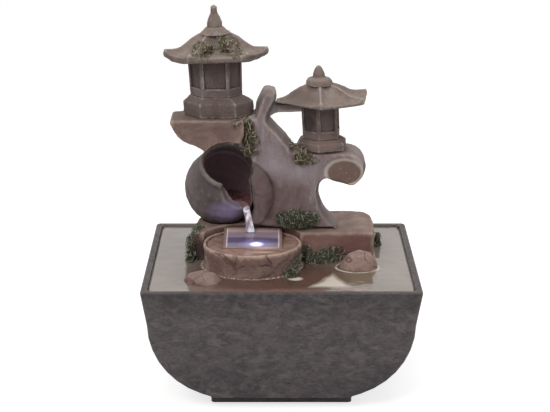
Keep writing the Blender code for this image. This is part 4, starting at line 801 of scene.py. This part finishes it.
def trunk_relief(places, ways):
    """A deep crevice beside the jar, smaller folds next to it, and a sawn end inside its bark."""
    x, z = places[:, 0], places[:, 2]
    front = np.clip(-ways[:, 1] * 1.6 - 0.4, 0, 1)
    start = ramp(z, 0.1600, -0.012)
    push = 0.0044 * start * groove_depth(places, TRUNK_CREVICE, 0.0044)
    for line in TRUNK_RIDGES:
        push += 0.0012 * start * groove_depth(places, line, 0.0018)
    end = np.hypot((x - LOG_END[0]) / LOG_HALF[0], (z - LOG_END[1]) / LOG_HALF[1])
    push += 0.0007 * ramp(end, 1.04, -0.10)
    low = ramp(z, 0.150, -0.03) * ramp(x, 0, -0.008)
    push += 0.0002 * np.sin(x * 520 + 3 * np.sin(z * 90)) * low
    push += 0.00016 * np.sin(x * 900 + 5 * np.sin(z * 70) + 4 * np.sin(z * 31))
    out = places.copy()
    out[:, 0] += 0.0042 * ramp(x, 0.002, 0.007) * (z > 0.2005)
    out[:, 1] += push * front
    return close_to_jar(out)


# X and Y of each roof's middle and of its six corners
ROOF_RIBS = {"left": ((-0.0491, 0.0120), ((-0.0684, -0.0103), (-0.0238, -0.0047), (-0.0090, 0.0120),
                                          (-0.0882, 0.0120), (-0.0238, 0.0287), (-0.0684, 0.0343))),
             "right": ((0.0285, 0.0150), ((-0.0040, 0.0076), (0.0291, -0.0144), (0.0619, -0.0010),
                                          (0.0653, 0.0260), (0.0424, 0.0426), (0.0177, 0.0311)))}


def roof_relief(side):
    """A relief that raises the ridges over a roof's six corners and lets the slopes between them hang."""
    middle, corners = (np.array(value) for value in ROOF_RIBS[side])

    def relief(places, ways):
        flat = places[:, :2] - middle
        nearest = np.full(len(flat), 1e9)
        for corner in corners - middle:
            length = np.linalg.norm(corner)
            along = np.clip(flat @ corner / length, 0, length)
            nearest = np.minimum(nearest, np.linalg.norm(flat - np.outer(along, corner / length), axis=1))
        top = np.clip(ways[:, 2] * 2 - 0.3, 0, 1)
        rib = 0.0016 * np.exp(-(nearest / 0.0020) ** 2) - 0.0006 * ramp(nearest, 0, 0.006)
        return places + np.outer(rib * top, (0, 0, 1))

    return relief


def boulder(middle, share, forward=0.0):
    """A relief that makes a stone wider or narrower round its middle and moves it forward."""
    def relief(places, ways):
        out = places.copy()
        out[:, :2] = np.array(middle) + (places[:, :2] - middle) * share
        out[:, 1] -= forward
        return out

    return relief


def dress_stones():
    """Every stone piece of the sculpture, remade as worn and painted cast stone."""
    weathered("trunk", TRUNK, 0.00070, 3, 0.00025, 130.0, 1.0, trunk_relief)
    weathered("upper_ledge", LEDGE, 0.00065, 3, 0.00028, 150.0, 2.0, ledge_relief)
    weathered("base_rock", ROCK, 0.00080, 3, 0.00035, 120.0, 3.0)
    weathered("pot", JAR, 0.00060, 2, 0.00010, 110.0, 4.0)
    weathered("basin", BASIN, 0.00070, 2, 0.00028, 170.0, 5.0)
    weathered("left_stone", PEBBLE_LEFT, 0.00055, 3, 0.00045, 170.0, 6.0,
              boulder((-0.0572, -0.0445), (1.20, 1.32), 0.0040))
    weathered("right_stone", PEBBLE_RIGHT, 0.00060, 3, 0.00045, 170.0, 7.0,
              boulder((0.0577, -0.0195), (0.92, 0.95)))
    for k, side in enumerate(("left", "right")):
        weathered(side + "_lantern_plinth", LANTERN, 0.00045, 3, 0.00020, 260.0, 8.0 + k)
        weathered(side + "_lantern_fire_box", LANTERN, 0.00036, 1, 0.00012, 260.0, 10.0 + k, recessed=True)
        weathered(side + "_lantern_roof", ROOF, 0.00042, 2, 0.00020, 210.0, 12.0 + k,
                  roof_relief(side))
        weathered(side + "_lantern_finial", ROOF, 0.00034, 2, 0.00016, 300.0, 14.0 + k)


# Moss
# Turns of each kind of strand, and as shares of the curl its first and last radius and its rise
CURLS = [(1.1, 0.45, 1.0, 0.9), (0.55, 1.0, 1.5, 0.5), (1.4, 0.25, 0.8, 1.4), (0.35, 1.6, 2.0, 0.9)]


def moss_tree():
    """Curled strands scattered over a bed; inputs give their number, size, thickness, paint and seed."""
    t, g, out = node_group(
        "Curled moss", {"Bed": SHAPE, "Strands per square metre": SQUARE_MM, "Curl": 0.0010,
                        "Thickness": 0.0002, "Seed": 1, "Paint": "NodeSocketMaterial"},
        {"Moss": SHAPE}, "GeometryNodeTree")

    def drawn(k, kind, low, high):
        """A random value for each strand; k is the place of its kind among the node's sockets."""
        return t.add("FunctionNodeRandomValue", {2 * k: low, 2 * k + 1: high, "Seed": g["Seed"]},
                     data_type=kind).outputs[k]

    section = t.add("GeometryNodeCurvePrimitiveCircle",
                    {"Resolution": 4, "Radius": g["Thickness"]}).outputs[0]
    curls = t.add("GeometryNodeJoinGeometry")
    for turns, start, end, rise in CURLS:
        spiral = t.add("GeometryNodeCurveSpiral",
                       {"Resolution": 8, "Rotations": turns,
                        "Start Radius": t.times(g["Curl"], start),
                        "End Radius": t.times(g["Curl"], end),
                        "Height": t.times(g["Curl"], rise)}).outputs[0]
        tube = t.add("GeometryNodeCurveToMesh", {"Curve": spiral, "Profile Curve": section,
                                                 "Fill Caps": True}).outputs[0]
        one = t.add("GeometryNodeGeometryToInstance", {0: tube}).outputs[0]
        t.link(one, curls.inputs[0])
    points = t.add("GeometryNodeDistributePointsOnFaces",
                   {"Mesh": g["Bed"], "Density": g["Strands per square metre"], "Seed": g["Seed"]},
                   distribute_method="RANDOM")
    turn = drawn(0, "FLOAT_VECTOR", (0.0, 0.0, 0.0), (FULL_TURN,) * 3)
    size = drawn(1, "FLOAT", 0.5, 1.2)
    strands = t.add("GeometryNodeInstanceOnPoints",
                    {"Points": points.outputs[0], "Instance": curls.outputs[0], "Pick Instance": True,
                     "Rotation": turn, "Scale": size}).outputs[0]
    tone = drawn(1, "FLOAT", 0.0, 1.0)
    toned = t.add("GeometryNodeStoreNamedAttribute", {"Geometry": strands, "Name": "tone", "Value": tone},
                  data_type="FLOAT", domain="INSTANCE").outputs[0]
    real = t.add("GeometryNodeRealizeInstances", {0: toned}).outputs[0]
    coloured = t.add("GeometryNodeSetMaterial", {"Geometry": real, "Material": g["Paint"]}).outputs[0]
    t.link(coloured, out[0])
    return t.tree


def bed_mesh(name, pad, ground):
    """What strands grow from: the pad and the front or top of stone pieces inside circles seen from there."""
    bm = bmesh.new()
    bm.from_mesh(pad)
    for node, on_top, circles in ground:
        stone_bm = bmesh.new()
        stone_bm.from_mesh(DRESSED[node].data)
        away = []
        for face in stone_bm.faces:
            middle = face.calc_center_median()
            high = middle.y if on_top else middle.z
            inside = any(math.hypot(middle.x - x, high - other) < r for x, other, r in circles)
            turned_away = face.normal.z < 0.5 if on_top else face.normal.y > -0.05
            if not inside or turned_away:
                away.append(face)
        bmesh.ops.delete(stone_bm, geom=away, context="FACES")
        patch = mesh_of(stone_bm, "patch")
        bm.from_mesh(patch)
        bpy.data.meshes.remove(patch)
    return mesh_of(bm, name)


def clump(node, tree, strand_material, per_square_mm, seed, curl=0.0010, thickness=0.00020, sink=0.0011,
          narrow=None, ground=()):
    """A moss node remade as a thin dark bed under curled strands, which may spread over the stone.

    Narrow gives the X that the bed is drawn in to and the share of its width that is left.
    """
    pad = node_copy(node, "dressed_" + node)
    split = pad.modifiers.new("finer", "SUBSURF")
    split.subdivision_type = "SIMPLE"
    split.levels = split.render_levels = 2
    settled(pad)
    places, ways = vertex_values(pad.data), vertex_values(pad.data, "normal")
    lumps = BED_LUMPS[1] * rough(places, BED_LUMPS[0], 3, seed)
    places = places - ways * (sink - lumps)[:, None]
    if narrow:
        places[:, 0] = narrow[0] + (places[:, 0] - narrow[0]) * narrow[1]
    put_places(pad.data, places)
    strands = plain_object("strands_" + node, bed_mesh("bed", pad.data, ground))
    modifier = strands.modifiers.new("strands", "NODES")
    modifier.node_group = tree
    values = {"Strands per square metre": per_square_mm * SQUARE_MM, "Curl": curl, "Thickness": thickness,
              "Seed": seed, "Paint": strand_material}
    for item in tree.interface.items_tree:
        if item.in_out == "INPUT" and item.name in values:
            modifier[item.identifier] = values[item.name]
    settled(strands)
    pad.data.materials.append(MOSS_BED)
    made = joined([strands, pad], "dressed_" + node)
    smooth_faces(made.data)
    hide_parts(node)
    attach(made, "sculpture")
    return made


def joined(pieces, name):
    """Several objects as one."""
    with bpy.context.temp_override(active_object=pieces[0], selected_objects=pieces,
                                   selected_editable_objects=pieces):
        bpy.ops.object.join()
    pieces[0].name = pieces[0].data.name = name
    return pieces[0]


def dress_moss():
    """The nine clumps: dry ones high up, greener ones near the water."""
    tree = moss_tree()
    clump("moss_roof_right", tree, MOSS_DRY, 1.0, 11, 0.0009, 0.00018, 0.0014, ground=[
        ("left_lantern_roof", False, [(-0.0368, 0.2550, 0.0062), (-0.0405, 0.2610, 0.0036),
                                      (-0.0325, 0.2515, 0.0036)])])
    clump("moss_roof_left", tree, MOSS_DRY, 0.9, 12, 0.0009, 0.00018, 0.0020, ground=[
        ("left_lantern_roof", False, [(-0.0610, 0.2515, 0.0044), (-0.0550, 0.2515, 0.0046),
                                      (-0.0500, 0.2525, 0.0036), (-0.0590, 0.2560, 0.0030)])])
    clump("moss_vine", tree, MOSS_DRY, 0.6, 13, 0.0016, 0.00024, 0.0022, (-0.0250, 0.72), ground=[
        ("trunk", False, [(-0.0285, 0.1975, 0.0042), (-0.0200, 0.1740, 0.0036), (-0.0205, 0.1820, 0.0040)]),
        ("upper_ledge", False, [(-0.0330, 0.1990, 0.0034)])])
    clump("moss_crook", tree, MOSS_DRY, 0.8, 14, 0.0012, 0.00023, ground=[
        ("trunk", False, [(0.0090, 0.1780, 0.0034), (0.0150, 0.1730, 0.0050), (0.0215, 0.1690, 0.0050),
                          (0.0250, 0.1675, 0.0034)])])
    clump("moss_trunk_foot", tree, MOSS_GREEN, 0.8, 15, 0.0013, 0.00025, ground=[
        ("trunk", False, [(0.0020, 0.1215, 0.0050), (0.0120, 0.1235, 0.0055), (0.0220, 0.1200, 0.0050)])])
    clump("moss_rock_left", tree, MOSS_GREEN, 0.7, 16, 0.0013, 0.00025, narrow=(-0.0700, 0.45), ground=[
        ("base_rock", True, [(-0.0660, -0.0005, 0.0050), (-0.0630, 0.0070, 0.0042)]),
        ("base_rock", False, [(-0.0670, 0.1110, 0.0040), (-0.0690, 0.1040, 0.0030), (-0.0700, 0.0970, 0.0028),
                              (-0.0670, 0.0905, 0.0040), (-0.0600, 0.0895, 0.0034)])])
    clump("moss_rock_front", tree, MOSS_GREEN, 0.7, 17, 0.0015, 0.00026, ground=[
        ("base_rock", False, [(0.0200, 0.0975, 0.0045), (0.0330, 0.0965, 0.0040), (0.0420, 0.0975, 0.0050),
                              (0.0480, 0.0945, 0.0036)])])
    clump("moss_rock_right", tree, MOSS_GREEN, 0.7, 18, 0.0013, 0.00025, 0.0018)
    clump("moss_basin_foot", tree, MOSS_GREEN, 0.7, 19, 0.0014, 0.00025, 0.0020, ground=[
        ("basin", False, [(0.0094, 0.0960, 0.0042), (0.0120, 0.1000, 0.0030), (0.0060, 0.0915, 0.0040)])])


# Water
def shell(name, rings, material):
    """A closed mesh over rings of points; a ring of one point is a tip and the other ends are flat."""
    bm = bmesh.new()
    rings = [[bm.verts.new(point) for point in ring] for ring in rings]
    for inner, outer in zip(rings, rings[1:]):
        for k in range(len(outer)):
            after = (k + 1) % len(outer)
            corners = (inner[k % len(inner)], outer[k], outer[after], inner[after % len(inner)])
            bm.faces.new(corners if len(inner) > 1 else corners[:3])
    for ring in (rings[0], rings[-1][::-1]):
        if len(ring) > 1:
            bm.faces.new(ring)
    bmesh.ops.recalc_face_normals(bm, faces=bm.faces)
    mesh = mesh_of(bm, name)
    mesh.materials.append(material)
    return plain_object(name, mesh)


SHEET_RINGS = 60
SHEET_SIDES = 96


def sheet_of(name, outline, z, deep, material, body, wave):
    """A thin level sheet of water with a wavy top; outline gives X and Y for an angle and a share."""
    rings = []
    for share in (step / SHEET_RINGS for step in range(SHEET_RINGS + 1)):
        angles = [2 * math.pi * k / SHEET_SIDES for k in range(SHEET_SIDES if share else 1)]
        ring = [(*outline(angle, share), z) for angle in angles]
        if share < 1:
            ring = [(x, y, z + wave * noise.noise(Vector((x, y, 0)) * WAVE_SCALE)) for x, y, z in ring]
        rings.append(ring)
    rings.append([(x, y, z - deep) for x, y, z in rings[-1]])
    made = shell(name, rings, material)
    for face in made.data.polygons:
        face.use_smooth = abs(face.normal.z) > 0.5
    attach(made, body)
    return made


def oval(middle_x, middle_y, half_x, half_y):
    """An outline for a sheet: an ellipse."""
    return lambda angle, share: (middle_x + half_x * share * math.cos(angle),
                                 middle_y + half_y * share * math.sin(angle))


def squared(half_x, half_y, power=60.0):
    """An outline for a sheet: a rectangle with slightly rounded corners."""
    def outline(angle, share):
        c, s = math.cos(angle), math.sin(angle)
        reach = share / (abs(c) ** power + abs(s) ** power) ** (1 / power)
        return half_x * reach * c, half_y * reach * s

    return outline


# X, Y, Z, half width and half thickness along the falling water
STREAM_PATH = [(-0.0330, 0.0260, 0.1276, 0.0050, 0.0010), (-0.0300, 0.0190, 0.1279, 0.0042, 0.0010),
               (-0.0282, 0.0145, 0.1277, 0.0034, 0.0011), (-0.0268, 0.0112, 0.1268, 0.0029, 0.0013),
               (-0.0262, 0.0085, 0.1248, 0.0027, 0.0014), (-0.0254, 0.0058, 0.1215, 0.0026, 0.0015),
               (-0.0247, 0.0036, 0.1178, 0.0028, 0.0015), (-0.0240, 0.0022, 0.1140, 0.0030, 0.0014),
               (-0.0236, 0.0014, 0.1112, 0.0036, 0.0012), (-0.0234, 0.0006, 0.1105, 0.0046, 0.0008)]
STREAM_SIDES = 20


def stream(material):
    """The water that runs from the jar over its broken edge down to the window."""
    middles = [Vector(row[:3]) for row in STREAM_PATH]
    across = Vector((1, 0, 0))
    rings = []
    for k, (*_, half, thick) in enumerate(STREAM_PATH):
        along = (middles[min(k + 1, len(middles) - 1)] - middles[max(k - 1, 0)]).normalized()
        out = across.cross(along).normalized()
        ring = []
        for angle in (2 * math.pi * step / STREAM_SIDES for step in range(STREAM_SIDES)):
            wavy = 1 + 0.10 * math.sin(3 * angle + 1.3 * k)
            ring.append(middles[k] + across * half * math.cos(angle) * wavy + out * thick * math.sin(angle))
        rings.append(ring)
    made = shell("water_stream", rings, material)
    smooth = made.modifiers.new("round", "SUBSURF")
    smooth.levels = smooth.render_levels = 2
    settled(made)
    smooth_faces(made.data)
    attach(made, "sculpture")
    return made


# Spots on moving water: share, paint, centre, radius and softness
# Painted light of the lamp on the dish water
DISH_LAMP_LIGHT = [(0.9, (244, 226, 216), (-0.0135, -0.0325, DISH_Z), (0.0100, 0.0022, 0.004), 0.9),
              (0.5, (206, 168, 154), (-0.0190, -0.0340, DISH_Z), (0.0200, 0.0050, 0.004), 0.8)]
# On the stream: red-brown water over the lip, then two painted highlights
STREAM_TINT_AND_HIGHLIGHTS = [(0.85, (150, 104, 98), (-0.0300, 0.0200, 0.1280), (0.010, 0.0110, 0.004), 0.3),
                (0.9, (250, 248, 255), (-0.0262, 0.0085, 0.1252), (0.005, 0.0040, 0.0008), 0.5),
                (0.8, (232, 238, 255), (-0.0234, 0.0010, 0.1120), (0.003, 0.0060, 0.0030), 0.8)]


def pour_water():
    """Pool, dish, jar and the falling stream."""
    low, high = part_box("bowl")
    sheet_of("pool_water", squared((high[0] - low[0]) / 2 - BOWL_WALL - 0.0004,
                                   (high[1] - low[1]) / 2 - BOWL_WALL + 0.0002),
             WATER_Z, WATER_DEEP, pool_material(), "bowl", 0.00012)
    low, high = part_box("basin")
    dish = clear_water_material("dish water", (142, 112, 102), (168, 138, 128), (1.0, 1.0, 1.0), 0.0005, 0.15,
                                spots=DISH_LAMP_LIGHT)
    sheet_of("dish_water", oval((low[0] + high[0]) / 2, (low[1] + high[1]) / 2,
                                (high[0] - low[0]) / 2 - DISH_WALL, (high[1] - low[1]) / 2 - DISH_WALL),
             DISH_Z, 0.0010, dish, "sculpture", 0.00015)
    jar = clear_water_material("jar water", (112, 72, 72), (156, 112, 110), (1.0, 1.3, 1.0), 0.0004, 0.2)
    reach = math.sqrt(JAR_INNER_R ** 2 - (JAR_CENTRE.z - JAR_WATER_Z) ** 2) - 0.0002
    sheet_of("jar_water", oval(JAR_CENTRE.x, JAR_CENTRE.y, reach, reach), JAR_WATER_Z, 0.0012, jar,
             "sculpture", 0.00030)
    # The falling water's near-white ripples are painted highlights and its glow is painted light of the lamp
    stream(clear_water_material("falling water", (146, 128, 142), (240, 234, 244), (3.0, 3.0, 0.8), 0.0008,
                                0.35, 0.14, STREAM_TINT_AND_HIGHLIGHTS))


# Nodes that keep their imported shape
def led_material():
    """Clear dome that glows in its middle."""
    t = Finish("light-emitting dome")
    core = t.zone((LED_SPOT.x, LED_SPOT.y + 0.005, 0.105), (0.003, 0.003, 0.003), 0.8)
    t.colour = t.blend(core, (238, 240, 255), (255, 255, 255))
    return t.surface(0.12, Emission_Color=t.blend(core, (200, 205, 255), (255, 255, 255)),
                     Emission_Strength=1.0)


# What the node's name starts with, then name, colours, roughness, grain scale and relief of its finish
PLAIN_FINISHES = [
    (("foot_pad", "suction_cup", "lamp_lead"), "black rubber", (38, 38, 38), (46, 45, 44), 0.75, 900.0),
    (("pump_", "flow_dial", "water_nozzle", "cord_gland"), "black housing", (42, 42, 43), (50, 50, 52), 0.42,
     600.0),
    (("lamp_housing",), "lamp housing", (56, 56, 58), (64, 64, 66), 0.45, 600.0),
    (("deck",), "deck", (100, 94, 88), (112, 104, 97), 0.6, 300.0, 0.0002),
    (("impeller",), "white plastic", (206, 206, 203), (214, 213, 209), 0.35, 500.0),
    (("rotor_magnet",), "ferrite", (68, 67, 66), (80, 78, 76), 0.6, 1400.0, 0.0001),
    (("rotor_shaft",), "ceramic shaft", (237, 236, 231), (228, 227, 221), 0.15, 800.0, 0.00002),
    (("riser_hose",), "vinyl hose", (206, 208, 205), (196, 199, 196), 0.3, 350.0)]


def finish_nodes():
    """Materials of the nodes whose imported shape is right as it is."""
    finishes = {"bowl": bowl_material(), "lamp_window": window_material(), "window_frame": frame_material(),
                "led": led_material()}
    for starts, *values in PLAIN_FINISHES:
        material = plain_material(*values)
        finishes.update({node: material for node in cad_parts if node.startswith(starts)})
    for node, material in finishes.items():
        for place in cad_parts[node].material_slots:
            place.material = material


# Room
# Name, place, point looked at, size, watts and colour of the soft lamps
LAMPS = [("key lamp", (-0.55, -0.75, 0.95), (0, 0, 0.12), 0.6, 6.6, (1.0, 0.99, 0.97)),
         ("fill lamp", (0.75, -0.55, 0.55), (0, 0, 0.12), 0.8, 2.0, (1, 1, 1)),
         ("top lamp", (0.05, 0.15, 1.05), (0, 0, 0.10), 0.7, 4.2, (1, 1, 1))]


def light(name, place, aim, size, power, colour):
    """A soft square lamp that looks at a point."""
    lamp = bpy.data.lights.new(name, "AREA")
    lamp.shape = "RECTANGLE"
    lamp.size = lamp.size_y = size
    lamp.energy = power
    lamp.color = colour
    made = plain_object(name, lamp)
    made.location = place
    made.rotation_euler = (Vector(aim) - Vector(place)).to_track_quat("-Z", "Y").to_euler()


def seen_rays(t):
    """One for rays that show the background: straight, mirrored or through glass."""
    path = t.add("ShaderNodeLightPath").outputs
    return t.most(path["Is Camera Ray"], t.most(path["Is Glossy Ray"], path["Is Transmission Ray"]))


def room():
    """White room, soft lamps and a pale floor that keeps the object's shadow."""
    world = bpy.data.worlds.new("white room")
    world.use_nodes = True
    world.node_tree.nodes.clear()
    t = Tree(world.node_tree)
    strength = t.spread(seen_rays(t), 0.0, 1.0, ROOM_LIGHT, 1.0)
    sky = t.add("ShaderNodeBackground", {"Color": (1, 1, 1, 1), "Strength": strength})
    t.link(sky.outputs[0], t.add("ShaderNodeOutputWorld").inputs[0])
    SCENE.world = world
    for lamp in LAMPS:
        light(*lamp)

    t = Finish("white floor")
    t.colour = t.blend(t.clouds(t.place, 30.0, 3.0), (186, 186, 186), (190, 190, 190))
    t.surface(0.9, Specular_IOR_Level=0.1, Emission_Color=(1, 1, 1, 1),
              Emission_Strength=t.times(seen_rays(t), FLOOR_GLOW))
    mesh = bpy.data.meshes.new("floor")
    mesh.from_pydata([(FLOOR_REACH * x, FLOOR_REACH * y, 0) for x, y in ((-1, -1), (1, -1), (1, 1), (-1, 1))],
                     [], [(0, 1, 2, 3)])
    mesh.materials.append(t.material)
    plain_object("floor", mesh)


def camera():
    """The photograph's camera."""
    lens = bpy.data.cameras.new("camera")
    lens.sensor_width = SENSOR_MM
    lens.lens = FOCAL_PIXELS / PHOTO_WIDTH * SENSOR_MM
    lens.clip_start, lens.clip_end = 0.05, 50.0
    made = plain_object("camera", lens)
    made.location = CAMERA_PLACE
    made.rotation_euler = Euler((math.radians(90 - CAMERA_DOWN_DEG), 0, 0))
    SCENE.camera = made
    SCENE.view_settings.view_transform = "Standard"


room()
camera()
finish_nodes()
dress_stones()
dress_moss()
pour_water()
